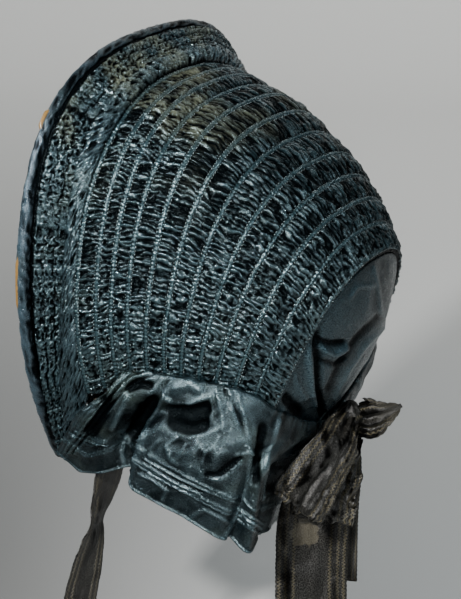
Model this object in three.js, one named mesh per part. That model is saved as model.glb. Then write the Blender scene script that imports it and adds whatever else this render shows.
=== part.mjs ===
// A drawn silk bonnet: a cloth hood shirred over cane hoops, with a brim, a crown tip, a neck curtain and ribbons.
// Millimetres, +Z up. The face opening looks towards -Y, and the wearer's left is +X.
// Heights are modelled from the neckline and depths from the brim's cheek corners.
// The whole bonnet is then placed so that the origin is where the top of the head bears.
import * as THREE from "three";

// Hood: its size, and the cloth's thickness and clearances
const hoodHeight = 199;
const hoodHalfWidth = 117;
const hoodDepth = 189;
const shoulderPower = 2.4;
const clothWall = 2;
const sewnGap = 0.4;
const hoopSteps = 26;

// Hoops: silk casings with a cane inside, each on a flat shelf between two puffs
const casingRadius = 2;
const casingSides = 5;
const shelfHalf = 2.7;
const casingEndShare = 0.016;
const puffRise = 0.12;

// Brim: shirred bands, and a binding folded round the edge cane
const brimShirrRise = 1.1;
const puffBandRise = 3.6;
const bindingRadius = 4.2;
const bindingWall = 1.2;
const bindingFlap = 144;
const caneRadius = 1.5;
const caneSides = 6;
const caneForwards = bindingRadius - bindingWall - sewnGap - caneRadius;
const brimStart = caneRadius - caneForwards + 2 * sewnGap;

// Crown tip: how far it bulges behind the last hoop, and how low its sewn edge dips at the nape
const tipBulge = 14.5;
const tipRings = [1, 0.9, 0.6, 0.3];
const tipSideSteps = 4;
const napeDrop = 40;
const napeDepth = 142;

// Neck curtain
const curtainLength = 110;
const curtainWall = 1.6;
const curtainPuff = 5.5;
const curtainSpring = 4.2;
const curtainTurn = 0.25;
const curtainHemRise = 0.17;
const rightSideTuck = 0.2;
const neckMiddle = 0.48;

// Ribbons
const ribbonWall = 1.2;
const tieWidth = 30;
const tieDrop = 160;
const bowRibbonWidth = 46;
const streamerDrop = 160;
const knotHeight = 22;
const knotWidth = 16.5;
const knotDepth = 14.6;
const knotSides = 10;
const knotRings = 7;

// Where the top of the head bears on the inside of the hood
const seatDepth = 88;
const seatHeight = 161;

// One row per hoop line from the brim's edge back to the crown.
// footY, topY and bow are shares of hoodDepth, footZ and topZ of hoodHeight, half and foot of hoodHalfWidth.
// widest is the height, as a share of the hoop's own, where it is widest, and square scales its shoulders' power.
const hoops = [
  { name: "edge", footY: 0.0, footZ: -0.3, topY: 0.153, topZ: 1.0, half: 1.145, foot: 0.585, widest: 0.62, square: 1.12, bow: 0 },
  { name: "seam", footY: 0.063, footZ: -0.275, topY: 0.222, topZ: 0.93, half: 0.99, foot: 0.66, widest: 0.66, square: 1.08, bow: 0.01 },
  { name: "00", footY: 0.217, footZ: -0.02, topY: 0.27, topZ: 0.875, half: 1.0, foot: 0.855, widest: 0.37, square: 1.06, bow: 0 },
  { name: "01", footY: 0.269, footZ: 0.0, topY: 0.333, topZ: 0.865, half: 0.983, foot: 0.842, widest: 0.37, square: 1.06, bow: 0 },
  { name: "02", footY: 0.314, footZ: 0.02, topY: 0.381, topZ: 0.85, half: 0.958, foot: 0.826, widest: 0.355, square: 1.06, bow: 0 },
  { name: "03", footY: 0.364, footZ: 0.034, topY: 0.434, topZ: 0.82, half: 0.933, foot: 0.812, widest: 0.34, square: 1.06, bow: 0 },
  { name: "04", footY: 0.418, footZ: 0.04, topY: 0.515, topZ: 0.8, half: 0.908, foot: 0.796, widest: 0.325, square: 1.06, bow: 0 },
  { name: "05", footY: 0.472, footZ: 0.042, topY: 0.593, topZ: 0.755, half: 0.883, foot: 0.781, widest: 0.305, square: 1.06, bow: 0 },
  { name: "06", footY: 0.526, footZ: 0.04, topY: 0.663, topZ: 0.695, half: 0.855, foot: 0.768, widest: 0.285, square: 1.06, bow: 0 },
  { name: "07", footY: 0.58, footZ: 0.035, topY: 0.748, topZ: 0.638, half: 0.825, foot: 0.752, widest: 0.262, square: 1.06, bow: 0 },
  { name: "08", footY: 0.632, footZ: 0.03, topY: 0.81, topZ: 0.578, half: 0.79, foot: 0.733, widest: 0.237, square: 1, bow: 0 },
  { name: "09", footY: 0.685, footZ: 0.018, topY: 0.868, topZ: 0.513, half: 0.742, foot: 0.705, widest: 0.215, square: 1, bow: 0 },
  { name: "10", footY: 0.73, footZ: -0.01, topY: 0.918, topZ: 0.445, half: 0.665, foot: 0.645, widest: 0.175, square: 1, bow: 0 },
  { name: "11", footY: 0.765, footZ: -0.06, topY: 0.968, topZ: 0.38, half: 0.575, foot: 0.57, widest: 0.14, square: 1, bow: 0 },
];
const firstCasing = 2;
const lastCasing = hoops.length - 1;

// The curtain's folds from its front edge (row 0) round to the nape (last row), on the left side.
// at is the share of the sewn edge. x is a share of hoodHalfWidth, y of hoodDepth, z of curtainLength.
// mid is half way down and hem is the lower edge, both before the curtain's clearance from the hoops.
const curtainFolds = [
  { at: 0.0, midX: 0.86, midY: 0.235, midZ: -0.14, hemX: 0.67, hemY: 0.06, hemZ: -0.48 },
  { at: 0.06, midX: 0.87, midY: 0.285, midZ: -0.2, hemX: 0.71, hemY: 0.155, hemZ: -0.56 },
  { at: 0.12, midX: 0.84, midY: 0.32, midZ: -0.22, hemX: 0.78, hemY: 0.25, hemZ: -0.52 },
  { at: 0.17, midX: 0.74, midY: 0.335, midZ: -0.25, hemX: 0.7, hemY: 0.33, hemZ: -0.47 },
  { at: 0.21, midX: 0.75, midY: 0.37, midZ: -0.27, hemX: 0.69, hemY: 0.35, hemZ: -0.5 },
  { at: 0.25, midX: 0.83, midY: 0.435, midZ: -0.22, hemX: 0.81, hemY: 0.365, hemZ: -0.56 },
  { at: 0.36, midX: 0.85, midY: 0.52, midZ: -0.25, hemX: 0.81, hemY: 0.46, hemZ: -0.62 },
  { at: 0.46, midX: 0.85, midY: 0.6, midZ: -0.26, hemX: 0.8, hemY: 0.54, hemZ: -0.67 },
  { at: 0.55, midX: 0.81, midY: 0.68, midZ: -0.27, hemX: 0.78, hemY: 0.61, hemZ: -0.74 },
  { at: 0.62, midX: 0.73, midY: 0.735, midZ: -0.28, hemX: 0.76, hemY: 0.65, hemZ: -0.79 },
  { at: 0.67, midX: 0.64, midY: 0.735, midZ: -0.32, hemX: 0.65, hemY: 0.645, hemZ: -0.8 },
  { at: 0.72, midX: 0.67, midY: 0.77, midZ: -0.38, hemX: 0.69, hemY: 0.725, hemZ: -0.89 },
  { at: 0.78, midX: 0.57, midY: 0.745, midZ: -0.42, hemX: 0.52, hemY: 0.7, hemZ: -0.86 },
  { at: 0.85, midX: 0.44, midY: 0.7, midZ: -0.48, hemX: 0.4, hemY: 0.645, hemZ: -0.9 },
  { at: 0.91, midX: 0.28, midY: 0.695, midZ: -0.55, hemX: 0.27, hemY: 0.655, hemZ: -0.92 },
  { at: 0.96, midX: 0.13, midY: 0.69, midZ: -0.62, hemX: 0.13, hemY: 0.615, hemZ: -0.94 },
  { at: 1.0, midX: 0.0, midY: 0.695, midZ: -0.64, hemX: 0.0, hemY: 0.605, hemZ: -0.95 },
];

// Ribbon routes. x is a share of hoodHalfWidth, z of the ribbon's own drop, wide of its width.
// y is a share of hoodDepth for the ties and of napeDepth for the bow.
// facing is the direction in plan, in degrees from +X, that the ribbon's face looks.
const leftTieRoute = [
  { x: 0.794, y: 0.256, z: 0.015, wide: 0.8, facing: 15 },
  { x: 0.72, y: 0.232, z: -0.14, wide: 0.85, facing: 60 },
  { x: 0.655, y: 0.218, z: -0.36, wide: 0.85, facing: 75 },
  { x: 0.66, y: 0.19, z: -0.51, wide: 0.8, facing: 85 },
  { x: 0.67, y: 0.165, z: -0.605, wide: 0.72, facing: 100 },
  { x: 0.675, y: 0.149, z: -0.7, wide: 0.7, facing: 80 },
  { x: 0.68, y: 0.127, z: -0.81, wide: 0.72, facing: 64 },
  { x: 0.684, y: 0.1, z: -0.95, wide: 0.76, facing: 58 },
  { x: 0.684, y: 0.09, z: -1, wide: 0.76, facing: 58 },
];
const rightTieRoute = [
  { x: -0.803, y: 0.254, z: 0.015, wide: 0.8, facing: 165 },
  { x: -0.71, y: 0.25, z: -0.14, wide: 0.85, facing: 122 },
  { x: -0.65, y: 0.3, z: -0.35, wide: 0.85, facing: 115 },
  { x: -0.6, y: 0.41, z: -0.55, wide: 0.9, facing: 120 },
  { x: -0.52, y: 0.51, z: -0.78, wide: 0.9, facing: 125 },
  { x: -0.46, y: 0.575, z: -1, wide: 1, facing: 125 },
];
const longStreamerRoute = [
  { x: -0.09, y: 1.125, z: -0.315, wide: 0.25, facing: 60 },
  { x: 0.0, y: 1.101, z: -0.4, wide: 0.6, facing: 48 },
  { x: 0.055, y: 1.062, z: -0.5, wide: 0.85, facing: 39 },
  { x: 0.06, y: 1.04, z: -0.62, wide: 1, facing: 38 },
  { x: 0.06, y: 1.029, z: -0.8, wide: 1, facing: 38 },
  { x: 0.06, y: 1.029, z: -1, wide: 1, facing: 38 },
];
const shortStreamerRoute = [
  { x: -0.165, y: 1.131, z: -0.305, wide: 0.25, facing: 60 },
  { x: -0.15, y: 1.118, z: -0.45, wide: 0.4, facing: 40 },
  { x: -0.12, y: 1.098, z: -0.65, wide: 0.5, facing: 32 },
  { x: -0.1, y: 1.085, z: -0.92, wide: 0.6, facing: 30 },
];
const leftLoopRoute = [
  { x: -0.082, y: 1.16, z: -0.216, wide: 0.4, facing: 70 },
  { x: 0.14, y: 1.191, z: -0.27, wide: 0.7, facing: 50 },
  { x: 0.33, y: 1.131, z: -0.41, wide: 0.85, facing: 40 },
  { x: 0.37, y: 1.085, z: -0.49, wide: 0.85, facing: 40 },
  { x: 0.34, y: 1.065, z: -0.485, wide: 0.8, facing: 40 },
  { x: 0.25, y: 1.111, z: -0.37, wide: 0.65, facing: 42 },
  { x: 0.1, y: 1.138, z: -0.28, wide: 0.4, facing: 55 },
];
const rightLoopRoute = [
  { x: -0.1225, y: 1.165, z: -0.309, wide: 0.28, facing: 65 },
  { x: 0.04, y: 1.166, z: -0.395, wide: 0.7, facing: 48 },
  { x: 0.16, y: 1.145, z: -0.48, wide: 0.9, facing: 42 },
  { x: 0.165, y: 1.118, z: -0.58, wide: 0.9, facing: 40 },
  { x: 0.13, y: 1.091, z: -0.57, wide: 0.85, facing: 40 },
  { x: 0.11, y: 1.105, z: -0.45, wide: 0.75, facing: 42 },
  { x: 0.08, y: 1.145, z: -0.37, wide: 0.5, facing: 45 },
];
const bowEndRoute = [
  { x: -0.179, y: 1.183, z: -0.235, wide: 0.45, facing: 20 },
  { x: -0.2, y: 1.238, z: -0.242, wide: 0.6, facing: 15 },
  { x: -0.213, y: 1.284, z: -0.235, wide: 0.45, facing: 12 },
  { x: -0.23, y: 1.331, z: -0.22, wide: 0.12, facing: 8 },
];
const leftLoopEdge = new THREE.Vector3(-0.5, 0.5, -0.7);
const rightLoopEdge = new THREE.Vector3(-0.62, 0.64, -0.45);
const knotPlace = { x: -0.145, y: 1.131, z: -0.235 };

const lerp = THREE.MathUtils.lerp;

// A point of one hoop: angle 0 is its side, a quarter turn its top. side is 1 for the left and -1 for the right.
function hoopPoint(hoop, up, side, halfWidth) {
  const y = lerp(hoop.footY, hoop.topY, up) + hoop.bow * 4 * up * (1 - up);
  const z = lerp(hoop.footZ, hoop.topZ, up);
  return new THREE.Vector3(side * halfWidth * hoodHalfWidth, y * hoodDepth, z * hoodHeight);
}

// One side of a hoop from its foot to its top: a bowed leg, then a rounded shoulder.
function hoopSide(hoop, side) {
  const points = [];
  const legSteps = 12;
  const archSteps = 36;
  for (let i = 0; i < legSteps; i++) {
    const up = (hoop.widest * i) / legSteps;
    const inwards = ((hoop.widest - up) / hoop.widest) ** 2;
    points.push(hoopPoint(hoop, up, side, lerp(hoop.half, hoop.foot, inwards)));
  }
  for (let i = 0; i <= archSteps; i++) {
    const angle = (Math.PI / 2) * (i / archSteps);
    const power = 2 / (shoulderPower * hoop.square);
    const across = Math.max(Math.cos(angle), 0) ** power;
    const rise = Math.sin(angle) ** power;
    points.push(hoopPoint(hoop, lerp(hoop.widest, 1, rise), side, hoop.half * across));
  }
  return points;
}

// A hoop as evenly spaced points from the left foot over the top to the right foot.
function hoopLine(hoop) {
  const left = hoopSide(hoop, 1);
  const right = hoopSide(hoop, -1).slice(0, -1).reverse();
  return new THREE.CatmullRomCurve3([...left, ...right]).getSpacedPoints(hoopSteps);
}

const hoopLines = hoops.map(hoopLine);
const lastStep = hoopSteps;

// The hood's outward direction at a hoop's point, from its neighbours along and across the hoops.
function outwards(row, step) {
  const line = hoopLines[row];
  const along = line[Math.min(step + 1, lastStep)].clone().sub(line[Math.max(step - 1, 0)]);
  const behind = hoopLines[Math.min(row + 1, lastCasing)][step].clone();
  const across = behind.sub(hoopLines[Math.max(row - 1, 0)][step]);
  return across.cross(along).normalize();
}

const hoopNormals = hoopLines.map((line, row) => line.map((_, step) => outwards(row, step)));

// A point of the hood between two neighbouring hoops, raised above its mid surface.
// from and to are distances in millimetres kept free at the two hoops.
function hoodPoint(row, step, share, lift, from, to) {
  const start = hoopLines[row][step];
  const end = hoopLines[row + 1][step];
  const length = start.distanceTo(end);
  const t = (from + share * (length - from - to)) / length;
  const normal = hoopNormals[row][step].clone().lerp(hoopNormals[row + 1][step], t).normalize();
  return { point: start.clone().lerp(end, t).addScaledVector(normal, lift), normal };
}

// A closed cloth wall round a grid of mid-surface points and normals, rows of equal length.
function clothShell(grid, wall) {
  const rows = grid.length;
  const columns = grid[0].length;
  const positions = [];
  for (const side of [0.5, -0.5]) {
    for (const row of grid) {
      for (const { point, normal } of row) {
        positions.push(...point.clone().addScaledVector(normal, side * wall).toArray());
      }
    }
  }
  const outer = (r, c) => r * columns + c;
  const inner = (r, c) => rows * columns + r * columns + c;
  const index = [];
  const quad = (a, b, c, d) => index.push(a, b, c, a, c, d);
  for (let r = 0; r < rows - 1; r++) {
    for (let c = 0; c < columns - 1; c++) {
      quad(outer(r, c), outer(r + 1, c), outer(r + 1, c + 1), outer(r, c + 1));
      quad(inner(r, c), inner(r, c + 1), inner(r + 1, c + 1), inner(r + 1, c));
    }
  }
  for (let c = 0; c < columns - 1; c++) {
    quad(outer(0, c), outer(0, c + 1), inner(0, c + 1), inner(0, c));
    quad(outer(rows - 1, c + 1), outer(rows - 1, c), inner(rows - 1, c), inner(rows - 1, c + 1));
  }
  for (let r = 0; r < rows - 1; r++) {
    quad(outer(r + 1, 0), outer(r, 0), inner(r, 0), inner(r + 1, 0));
    quad(outer(r, columns - 1), outer(r + 1, columns - 1), inner(r + 1, columns - 1), inner(r, columns - 1));
  }
  return closedGeometry(positions, index);
}

// A closed body swept through rings of equal length, with both ends capped.
function sweptBody(rings, capTriangles, turnedSides = []) {
  const count = rings[0].length;
  const positions = rings.flat().flatMap((point) => point.toArray());
  const index = [];
  for (let r = 0; r < rings.length - 1; r++) {
    for (let c = 0; c < count; c++) {
      const a = r * count + c;
      const b = r * count + ((c + 1) % count);
      if (turnedSides.includes(c)) {
        index.push(a, b, a + count, b, b + count, a + count);
      } else {
        index.push(a, b, b + count, a, b + count, a + count);
      }
    }
  }
  const last = (rings.length - 1) * count;
  for (const [a, b, c] of capTriangles) {
    index.push(a, c, b, last + a, last + b, last + c);
  }
  return closedGeometry(positions, index);
}

function closedGeometry(positions, index) {
  const geometry = new THREE.BufferGeometry();
  geometry.setAttribute("position", new THREE.Float32BufferAttribute(positions, 3));
  geometry.setIndex(index);
  geometry.computeVertexNormals();
  return geometry;
}

// A flat section in a plane square to a hoop: out along the hood's normal, back across the hoops.
function sectionRing(section, centre, out, back) {
  return section.map(([o, b]) => centre.clone().addScaledVector(out, o).addScaledVector(back, b));
}

function roundSection(radius, sides) {
  return Array.from({ length: sides }, (_, i) => {
    const angle = (2 * Math.PI * i) / sides;
    return [radius * Math.cos(angle), radius * Math.sin(angle)];
  });
}

function capOf(section) {
  return THREE.ShapeUtils.triangulateShape(section.map(([o, b]) => new THREE.Vector2(o, b)), []);
}

// The axes of a section at a hoop's point: out is the hood's normal, back points away from the face.
function hoopAxes(row, step) {
  const out = hoopNormals[row][step];
  const line = hoopLines[row];
  const along = line[Math.min(step + 1, lastStep)].clone().sub(line[Math.max(step - 1, 0)]).normalize();
  return { out, back: along.cross(out).normalize() };
}

function casing(row) {
  const standOff = clothWall / 2 + sewnGap + casingRadius;
  const section = roundSection(casingRadius, casingSides);
  const rings = hoopLines[row].map((point, step) => {
    const { out, back } = hoopAxes(row, step);
    const next = step === 0 ? 1 : lastStep - 1;
    const atEnd = step === 0 || step === lastStep;
    const centre = point.clone();
    if (atEnd) centre.lerp(hoopLines[row][next], casingEndShare * hoopSteps);
    return sectionRing(section, centre.addScaledVector(out, standOff), out, back);
  });
  return sweptBody(rings, capOf(section));
}

// A shirred band between two hoop lines, with rises given at even shares of its width.
function shirredBand(row, rises, from, to) {
  const grid = rises.map((rise, i) =>
    hoopLines[row].map((_, step) => hoodPoint(row, step, i / (rises.length - 1), rise, from, to)),
  );
  return clothShell(grid, clothWall);
}

// The main cover: a flat shelf under each casing and a puff between each pair.
function drawnCover() {
  const grid = [];
  const line = (row, share, lift, from, to) =>
    grid.push(hoopLines[row].map((_, step) => hoodPoint(row, step, share, lift, from, to)));
  line(firstCasing - 1, 1, 0, 0, shelfHalf);
  line(firstCasing, 0, 0, 0, 0);
  for (let row = firstCasing; row < lastCasing; row++) {
    line(row, 0, 0, shelfHalf, shelfHalf);
    grid.push(
      hoopLines[row].map((point, step) => {
        const rise = puffRise * point.distanceTo(hoopLines[row + 1][step]);
        return hoodPoint(row, step, 0.5, rise, shelfHalf, shelfHalf);
      }),
    );
    line(row, 1, 0, shelfHalf, shelfHalf);
  }
  line(lastCasing - 1, 1, 0, 0, -shelfHalf);
  return clothShell(grid, clothWall);
}

// The binding's section is an open channel: one flap over the outside, one over the inside of the brim.
function bindingSection() {
  const steps = 8;
  const arc = (radius, from, to) =>
    Array.from({ length: steps + 1 }, (_, i) => {
      const angle = THREE.MathUtils.degToRad(lerp(from, to, i / steps));
      return [radius * Math.sin(angle), -radius * Math.cos(angle)];
    });
  const outer = arc(bindingRadius, -bindingFlap, bindingFlap);
  const inner = arc(bindingRadius - bindingWall, bindingFlap, -bindingFlap);
  return [...outer, ...inner];
}

function brimBinding() {
  const section = bindingSection();
  const rings = hoopLines[0].map((point, step) => {
    const { out, back } = hoopAxes(0, step);
    return sectionRing(section, point, out, back);
  });
  return sweptBody(rings, capOf(section));
}

// The edge cane lies in the fold of the binding.
function brimCane() {
  const section = roundSection(caneRadius, caneSides);
  const rings = hoopLines[0].map((point, step) => {
    const { out, back } = hoopAxes(0, step);
    return sectionRing(section, point.clone().addScaledVector(back, -caneForwards), out, back);
  });
  return sweptBody(rings, capOf(section));
}

// The crown tip's upper rim follows the last hoop.
function tipArch() {
  return hoopLines[lastCasing].map((_, step) =>
    hoodPoint(lastCasing - 1, step, 1, 0, 0, -(shelfHalf + sewnGap)),
  );
}

// The sewn edge below the tip dips from the last hoop's left foot across the nape to its right foot.
function napeLine() {
  const arch = tipArch();
  const nape = new THREE.Vector3(0, napeDepth, -napeDrop);
  const ends = [arch[0].point, nape, arch[lastStep].point];
  return new THREE.CatmullRomCurve3(ends, false, "centripetal").getPoints(2 * tipSideSteps);
}

function tipRim() {
  const below = napeLine().slice(1, -1).reverse();
  return [...tipArch(), ...below.map((point) => ({ point, normal: new THREE.Vector3(0, 0, -1) }))];
}

// The tip is drawn in rings towards its middle, bulging along the normal of the last hoop's plane.
function crownTip() {
  const rim = tipRim();
  const lean = Math.atan2(
    (hoops[lastCasing].topY - hoops[lastCasing].footY) * hoodDepth,
    (hoops[lastCasing].topZ - hoops[lastCasing].footZ) * hoodHeight,
  );
  const backwards = new THREE.Vector3(0, Math.cos(lean), -Math.sin(lean));
  const box = new THREE.Box3().setFromPoints(rim.map(({ point }) => point));
  const middle = box.getCenter(new THREE.Vector3());
  middle.x = 0;
  const positions = [];
  for (const side of [0.5, -0.5]) {
    for (const share of tipRings) {
      for (const { point, normal } of rim) {
        const direction = share === 1 ? normal : backwards;
        const place = middle.clone().lerp(point, share);
        place.addScaledVector(backwards, tipBulge * (1 - share ** 4));
        positions.push(...place.addScaledVector(direction, side * clothWall).toArray());
      }
    }
    const centre = middle.clone().addScaledVector(backwards, tipBulge + side * clothWall);
    positions.push(...centre.toArray());
  }
  const count = rim.length;
  const half = tipRings.length * count + 1;
  const index = [];
  for (let c = 0; c < count; c++) {
    const next = (c + 1) % count;
    for (let r = 0; r < tipRings.length - 1; r++) {
      const [a, b] = [r * count + c, r * count + next];
      const [d, e] = [a + count, b + count];
      index.push(a, d, e, a, e, b);
      index.push(half + a, half + e, half + d, half + a, half + b, half + e);
    }
    const last = (tipRings.length - 1) * count;
    index.push(last + c, half - 1, last + next);
    index.push(half + last + c, half + last + next, 2 * half - 1);
    index.push(c, next, half + next, c, half + next, half + c);
  }
  return closedGeometry(positions, index);
}

// The curtain's sewn edge runs under the feet of the hoops from the fourth one back, and on to the nape.
function sewnEdge() {
  const feet = hoopLines.slice(firstCasing + 3).map((line) => line[0]);
  return new THREE.CatmullRomCurve3([...feet, ...napeLine().slice(1, tipSideSteps + 1)]);
}

// Away from the middle of the neck opening, in plan.
function fromNeck(point, side) {
  return new THREE.Vector3(Math.max(side * point.x, 0) * side, point.y - neckMiddle * hoodDepth, 0).normalize();
}

// One fold of the curtain, from the sewn edge over its puff down to the hem.
// On the right side the folds of the back half hang tucked in towards the neck.
function curtainFold(fold, edge, side) {
  const standOff = clothWall / 2 + 2 * sewnGap + 2 * casingRadius + curtainWall / 2;
  const sewn = edge.getPointAt(fold.at);
  sewn.x *= side;
  const out = fromNeck(sewn, side);
  const tableOut = fromNeck(new THREE.Vector3(side * fold.midX * hoodHalfWidth, fold.midY * hoodDepth, 0), side);
  const tuck = side < 0 ? rightSideTuck * Math.max(Math.sin(2 * Math.PI * (fold.at - 0.5)), 0) : 0;
  const onTable = (x, y, z) => {
    const across = side * x * (1 - tuck) * hoodHalfWidth;
    const place = new THREE.Vector3(across, lerp(y, neckMiddle, tuck) * hoodDepth, z * curtainLength);
    return place.addScaledVector(tableOut, standOff);
  };
  const near = (distance, height) =>
    sewn.clone().addScaledVector(out, distance).add(new THREE.Vector3(0, 0, height));
  const mid = onTable(fold.midX, fold.midY, fold.midZ);
  const hem = onTable(fold.hemX, fold.hemY, fold.hemZ);
  const under = -(clothWall + curtainWall) / 2 - sewnGap;
  return [
    near(0, under),
    near(standOff - curtainWall, under),
    near(standOff + curtainSpring, curtainPuff),
    near(standOff + 2 * curtainSpring, 0).lerp(mid, curtainTurn),
    mid,
    mid.clone().lerp(hem, 1 - curtainHemRise),
    hem,
  ];
}

function bavolet() {
  const edge = sewnEdge();
  const left = curtainFolds.map((fold) => curtainFold(fold, edge, 1));
  const right = curtainFolds.slice(0, -1).reverse().map((fold) => curtainFold(fold, edge, -1));
  const columns = [...left, ...right];
  const rows = columns[0].map((_, r) => columns.map((column) => column[r]));
  return clothShell(withNormals(rows), curtainWall);
}

// Normals for a grid of points, from the neighbours along and down it.
function withNormals(rows) {
  return rows.map((row, r) =>
    row.map((point, c) => {
      const along = row[Math.min(c + 1, row.length - 1)].clone().sub(row[Math.max(c - 1, 0)]);
      const below = rows[Math.min(r + 1, rows.length - 1)][c].clone();
      const down = below.sub(rows[Math.max(r - 1, 0)][c]);
      return { point, normal: down.cross(along).normalize() };
    }),
  );
}

// A ribbon swept down its route, as a thin closed band. Both its faces are split the same way where it twists.
// A loop has one edge direction all along, so that it folds back over itself.
function ribbon({ route, drop, width, depth, edge }) {
  const stepsPerRow = 2;
  const spline = (key) => new THREE.SplineCurve(route.map((row, i) => new THREE.Vector2(i, row[key])));
  const curves = Object.fromEntries(["x", "y", "z", "wide", "facing"].map((key) => [key, spline(key)]));
  const count = (route.length - 1) * stepsPerRow;
  const samples = Array.from({ length: count + 1 }, (_, i) => {
    const value = (key) => curves[key].getPoint(i / count).y;
    const centre = new THREE.Vector3(value("x") * hoodHalfWidth, value("y") * depth, value("z") * drop);
    return { centre, half: (value("wide") * width) / 2, facing: THREE.MathUtils.degToRad(value("facing")) };
  });
  const rings = samples.map(({ centre, half, facing }, i) => {
    const ahead = samples[Math.min(i + 1, count)].centre.clone();
    const along = ahead.sub(samples[Math.max(i - 1, 0)].centre).normalize();
    const looks = new THREE.Vector3(Math.cos(facing), Math.sin(facing), 0);
    const across = edge ? edge.clone().addScaledVector(along, -edge.dot(along)) : looks.cross(along);
    across.normalize();
    const face = along.clone().cross(across).normalize();
    const section = [[-half, -ribbonWall / 2], [half, -ribbonWall / 2], [half, ribbonWall / 2], [-half, ribbonWall / 2]];
    return section.map(([a, f]) => centre.clone().addScaledVector(across, a).addScaledVector(face, f));
  });
  return sweptBody(rings, [[0, 1, 2], [0, 2, 3]], [2]);
}

function knot() {
  const geometry = new THREE.SphereGeometry(1, knotSides, knotRings);
  geometry.scale(knotWidth / 2, knotDepth / 2, knotHeight / 2);
  geometry.translate(knotPlace.x * hoodHalfWidth, knotPlace.y * napeDepth, knotPlace.z * streamerDrop);
  return geometry;
}

// Materials, by the piece's own colour
const silk = { color: 0x16242a, roughness: 0.45, metalness: 0 };
const ribbonSilk = { color: 0x2b2723, roughness: 0.6, metalness: 0 };
const straw = { color: 0xb08a45, roughness: 0.5, metalness: 0 };

const bonnet = new THREE.Group();
bonnet.position.set(0, -seatDepth, -seatHeight);

function add(name, geometry, finish) {
  const mesh = new THREE.Mesh(geometry, new THREE.MeshStandardMaterial(finish));
  mesh.name = name;
  bonnet.add(mesh);
}

const halfGap = sewnGap / 2;
add("brim_cane", brimCane(), straw);
add("brim_binding", brimBinding(), silk);
const brimRises = [0, 0, brimShirrRise, 0, brimShirrRise, 0, brimShirrRise, 0];
add("brim_band", shirredBand(0, brimRises, brimStart, halfGap), silk);
const puffRises = [0, puffBandRise, puffBandRise, 0];
add("puff_band", shirredBand(1, puffRises, halfGap, shelfHalf + sewnGap + halfGap), silk);
add("drawn_cover", drawnCover(), silk);
for (let row = firstCasing; row <= lastCasing; row++) {
  add(`cane_casing_${hoops[row].name}`, casing(row), silk);
}
add("crown_tip", crownTip(), silk);
add("bavolet", bavolet(), silk);
add("tie_left", ribbon({ route: leftTieRoute, drop: tieDrop, width: tieWidth, depth: hoodDepth }), ribbonSilk);
add("tie_right", ribbon({ route: rightTieRoute, drop: tieDrop, width: tieWidth, depth: hoodDepth }), ribbonSilk);
add("bow_knot", knot(), ribbonSilk);
add("bow_loop_left", ribbon({ route: leftLoopRoute, drop: streamerDrop, width: bowRibbonWidth, depth: napeDepth, edge: leftLoopEdge }), ribbonSilk);
add("bow_loop_right", ribbon({ route: rightLoopRoute, drop: streamerDrop, width: bowRibbonWidth, depth: napeDepth, edge: rightLoopEdge }), ribbonSilk);
add("bow_end", ribbon({ route: bowEndRoute, drop: streamerDrop, width: bowRibbonWidth, depth: napeDepth }), ribbonSilk);
add("streamer_long", ribbon({ route: longStreamerRoute, drop: streamerDrop, width: bowRibbonWidth, depth: napeDepth }), ribbonSilk);
add("streamer_short", ribbon({ route: shortStreamerRoute, drop: streamerDrop, width: bowRibbonWidth, depth: napeDepth }), ribbonSilk);

const group = new THREE.Group();
group.add(bonnet);
export default group;
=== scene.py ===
import math

import bpy
import numpy as np
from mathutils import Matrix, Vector


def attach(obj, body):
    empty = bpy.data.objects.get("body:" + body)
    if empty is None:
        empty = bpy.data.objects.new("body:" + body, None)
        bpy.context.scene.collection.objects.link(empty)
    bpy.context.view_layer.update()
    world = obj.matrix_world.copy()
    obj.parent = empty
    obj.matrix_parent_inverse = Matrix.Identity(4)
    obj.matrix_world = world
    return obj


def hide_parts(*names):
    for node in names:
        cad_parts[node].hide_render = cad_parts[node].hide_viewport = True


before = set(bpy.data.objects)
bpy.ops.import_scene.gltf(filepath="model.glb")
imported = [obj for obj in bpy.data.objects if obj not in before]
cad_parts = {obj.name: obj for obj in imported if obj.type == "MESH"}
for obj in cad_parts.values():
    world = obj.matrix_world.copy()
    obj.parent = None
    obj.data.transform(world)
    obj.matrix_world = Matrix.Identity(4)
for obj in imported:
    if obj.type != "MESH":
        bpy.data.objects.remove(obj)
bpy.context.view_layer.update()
print("frame loaded")

mm = 0.001

# Node trees

def plug(tree, socket, value):
    if isinstance(value, bpy.types.NodeSocket):
        tree.links.new(value, socket)
    else:
        socket.default_value = value


def addNode(tree, kind, inputs=None, **settings):
    node = tree.nodes.new(kind)
    for key, value in settings.items():
        setattr(node, key, value)
    for key, value in (inputs or {}).items():
        plug(tree, node.inputs[key], value)
    return node


def calc(tree, operation, *values):
    return addNode(tree, "ShaderNodeMath", dict(enumerate(values)), operation=operation).outputs[0]


def plus(tree, a, b):
    return calc(tree, "ADD", a, b)


def minus(tree, a, b):
    return calc(tree, "SUBTRACT", a, b)


def times(tree, a, b):
    return calc(tree, "MULTIPLY", a, b)


# Of two vectors, another vector; the next one gives a number, such as a distance
def vectorCalc(tree, operation, *values):
    return addNode(tree, "ShaderNodeVectorMath", dict(enumerate(values)), operation=operation).outputs[0]


def measured(tree, operation, *values):
    node = addNode(tree, "ShaderNodeVectorMath", dict(enumerate(values)), operation=operation)
    return node.outputs["Value"]


def scaled(tree, vector, amount):
    return addNode(tree, "ShaderNodeVectorMath", {0: vector, "Scale": amount}, operation="SCALE").outputs[0]


def joined(tree, x, y, z):
    return addNode(tree, "ShaderNodeCombineXYZ", {"X": x, "Y": y, "Z": z}).outputs[0]


def smooth(tree, value, low, high, toLow=0.0, toHigh=1.0):
    inputs = {"Value": value, "From Min": low, "From Max": high, "To Min": toLow, "To Max": toHigh}
    return addNode(tree, "ShaderNodeMapRange", inputs, interpolation_type="SMOOTHSTEP").outputs[0]


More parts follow.
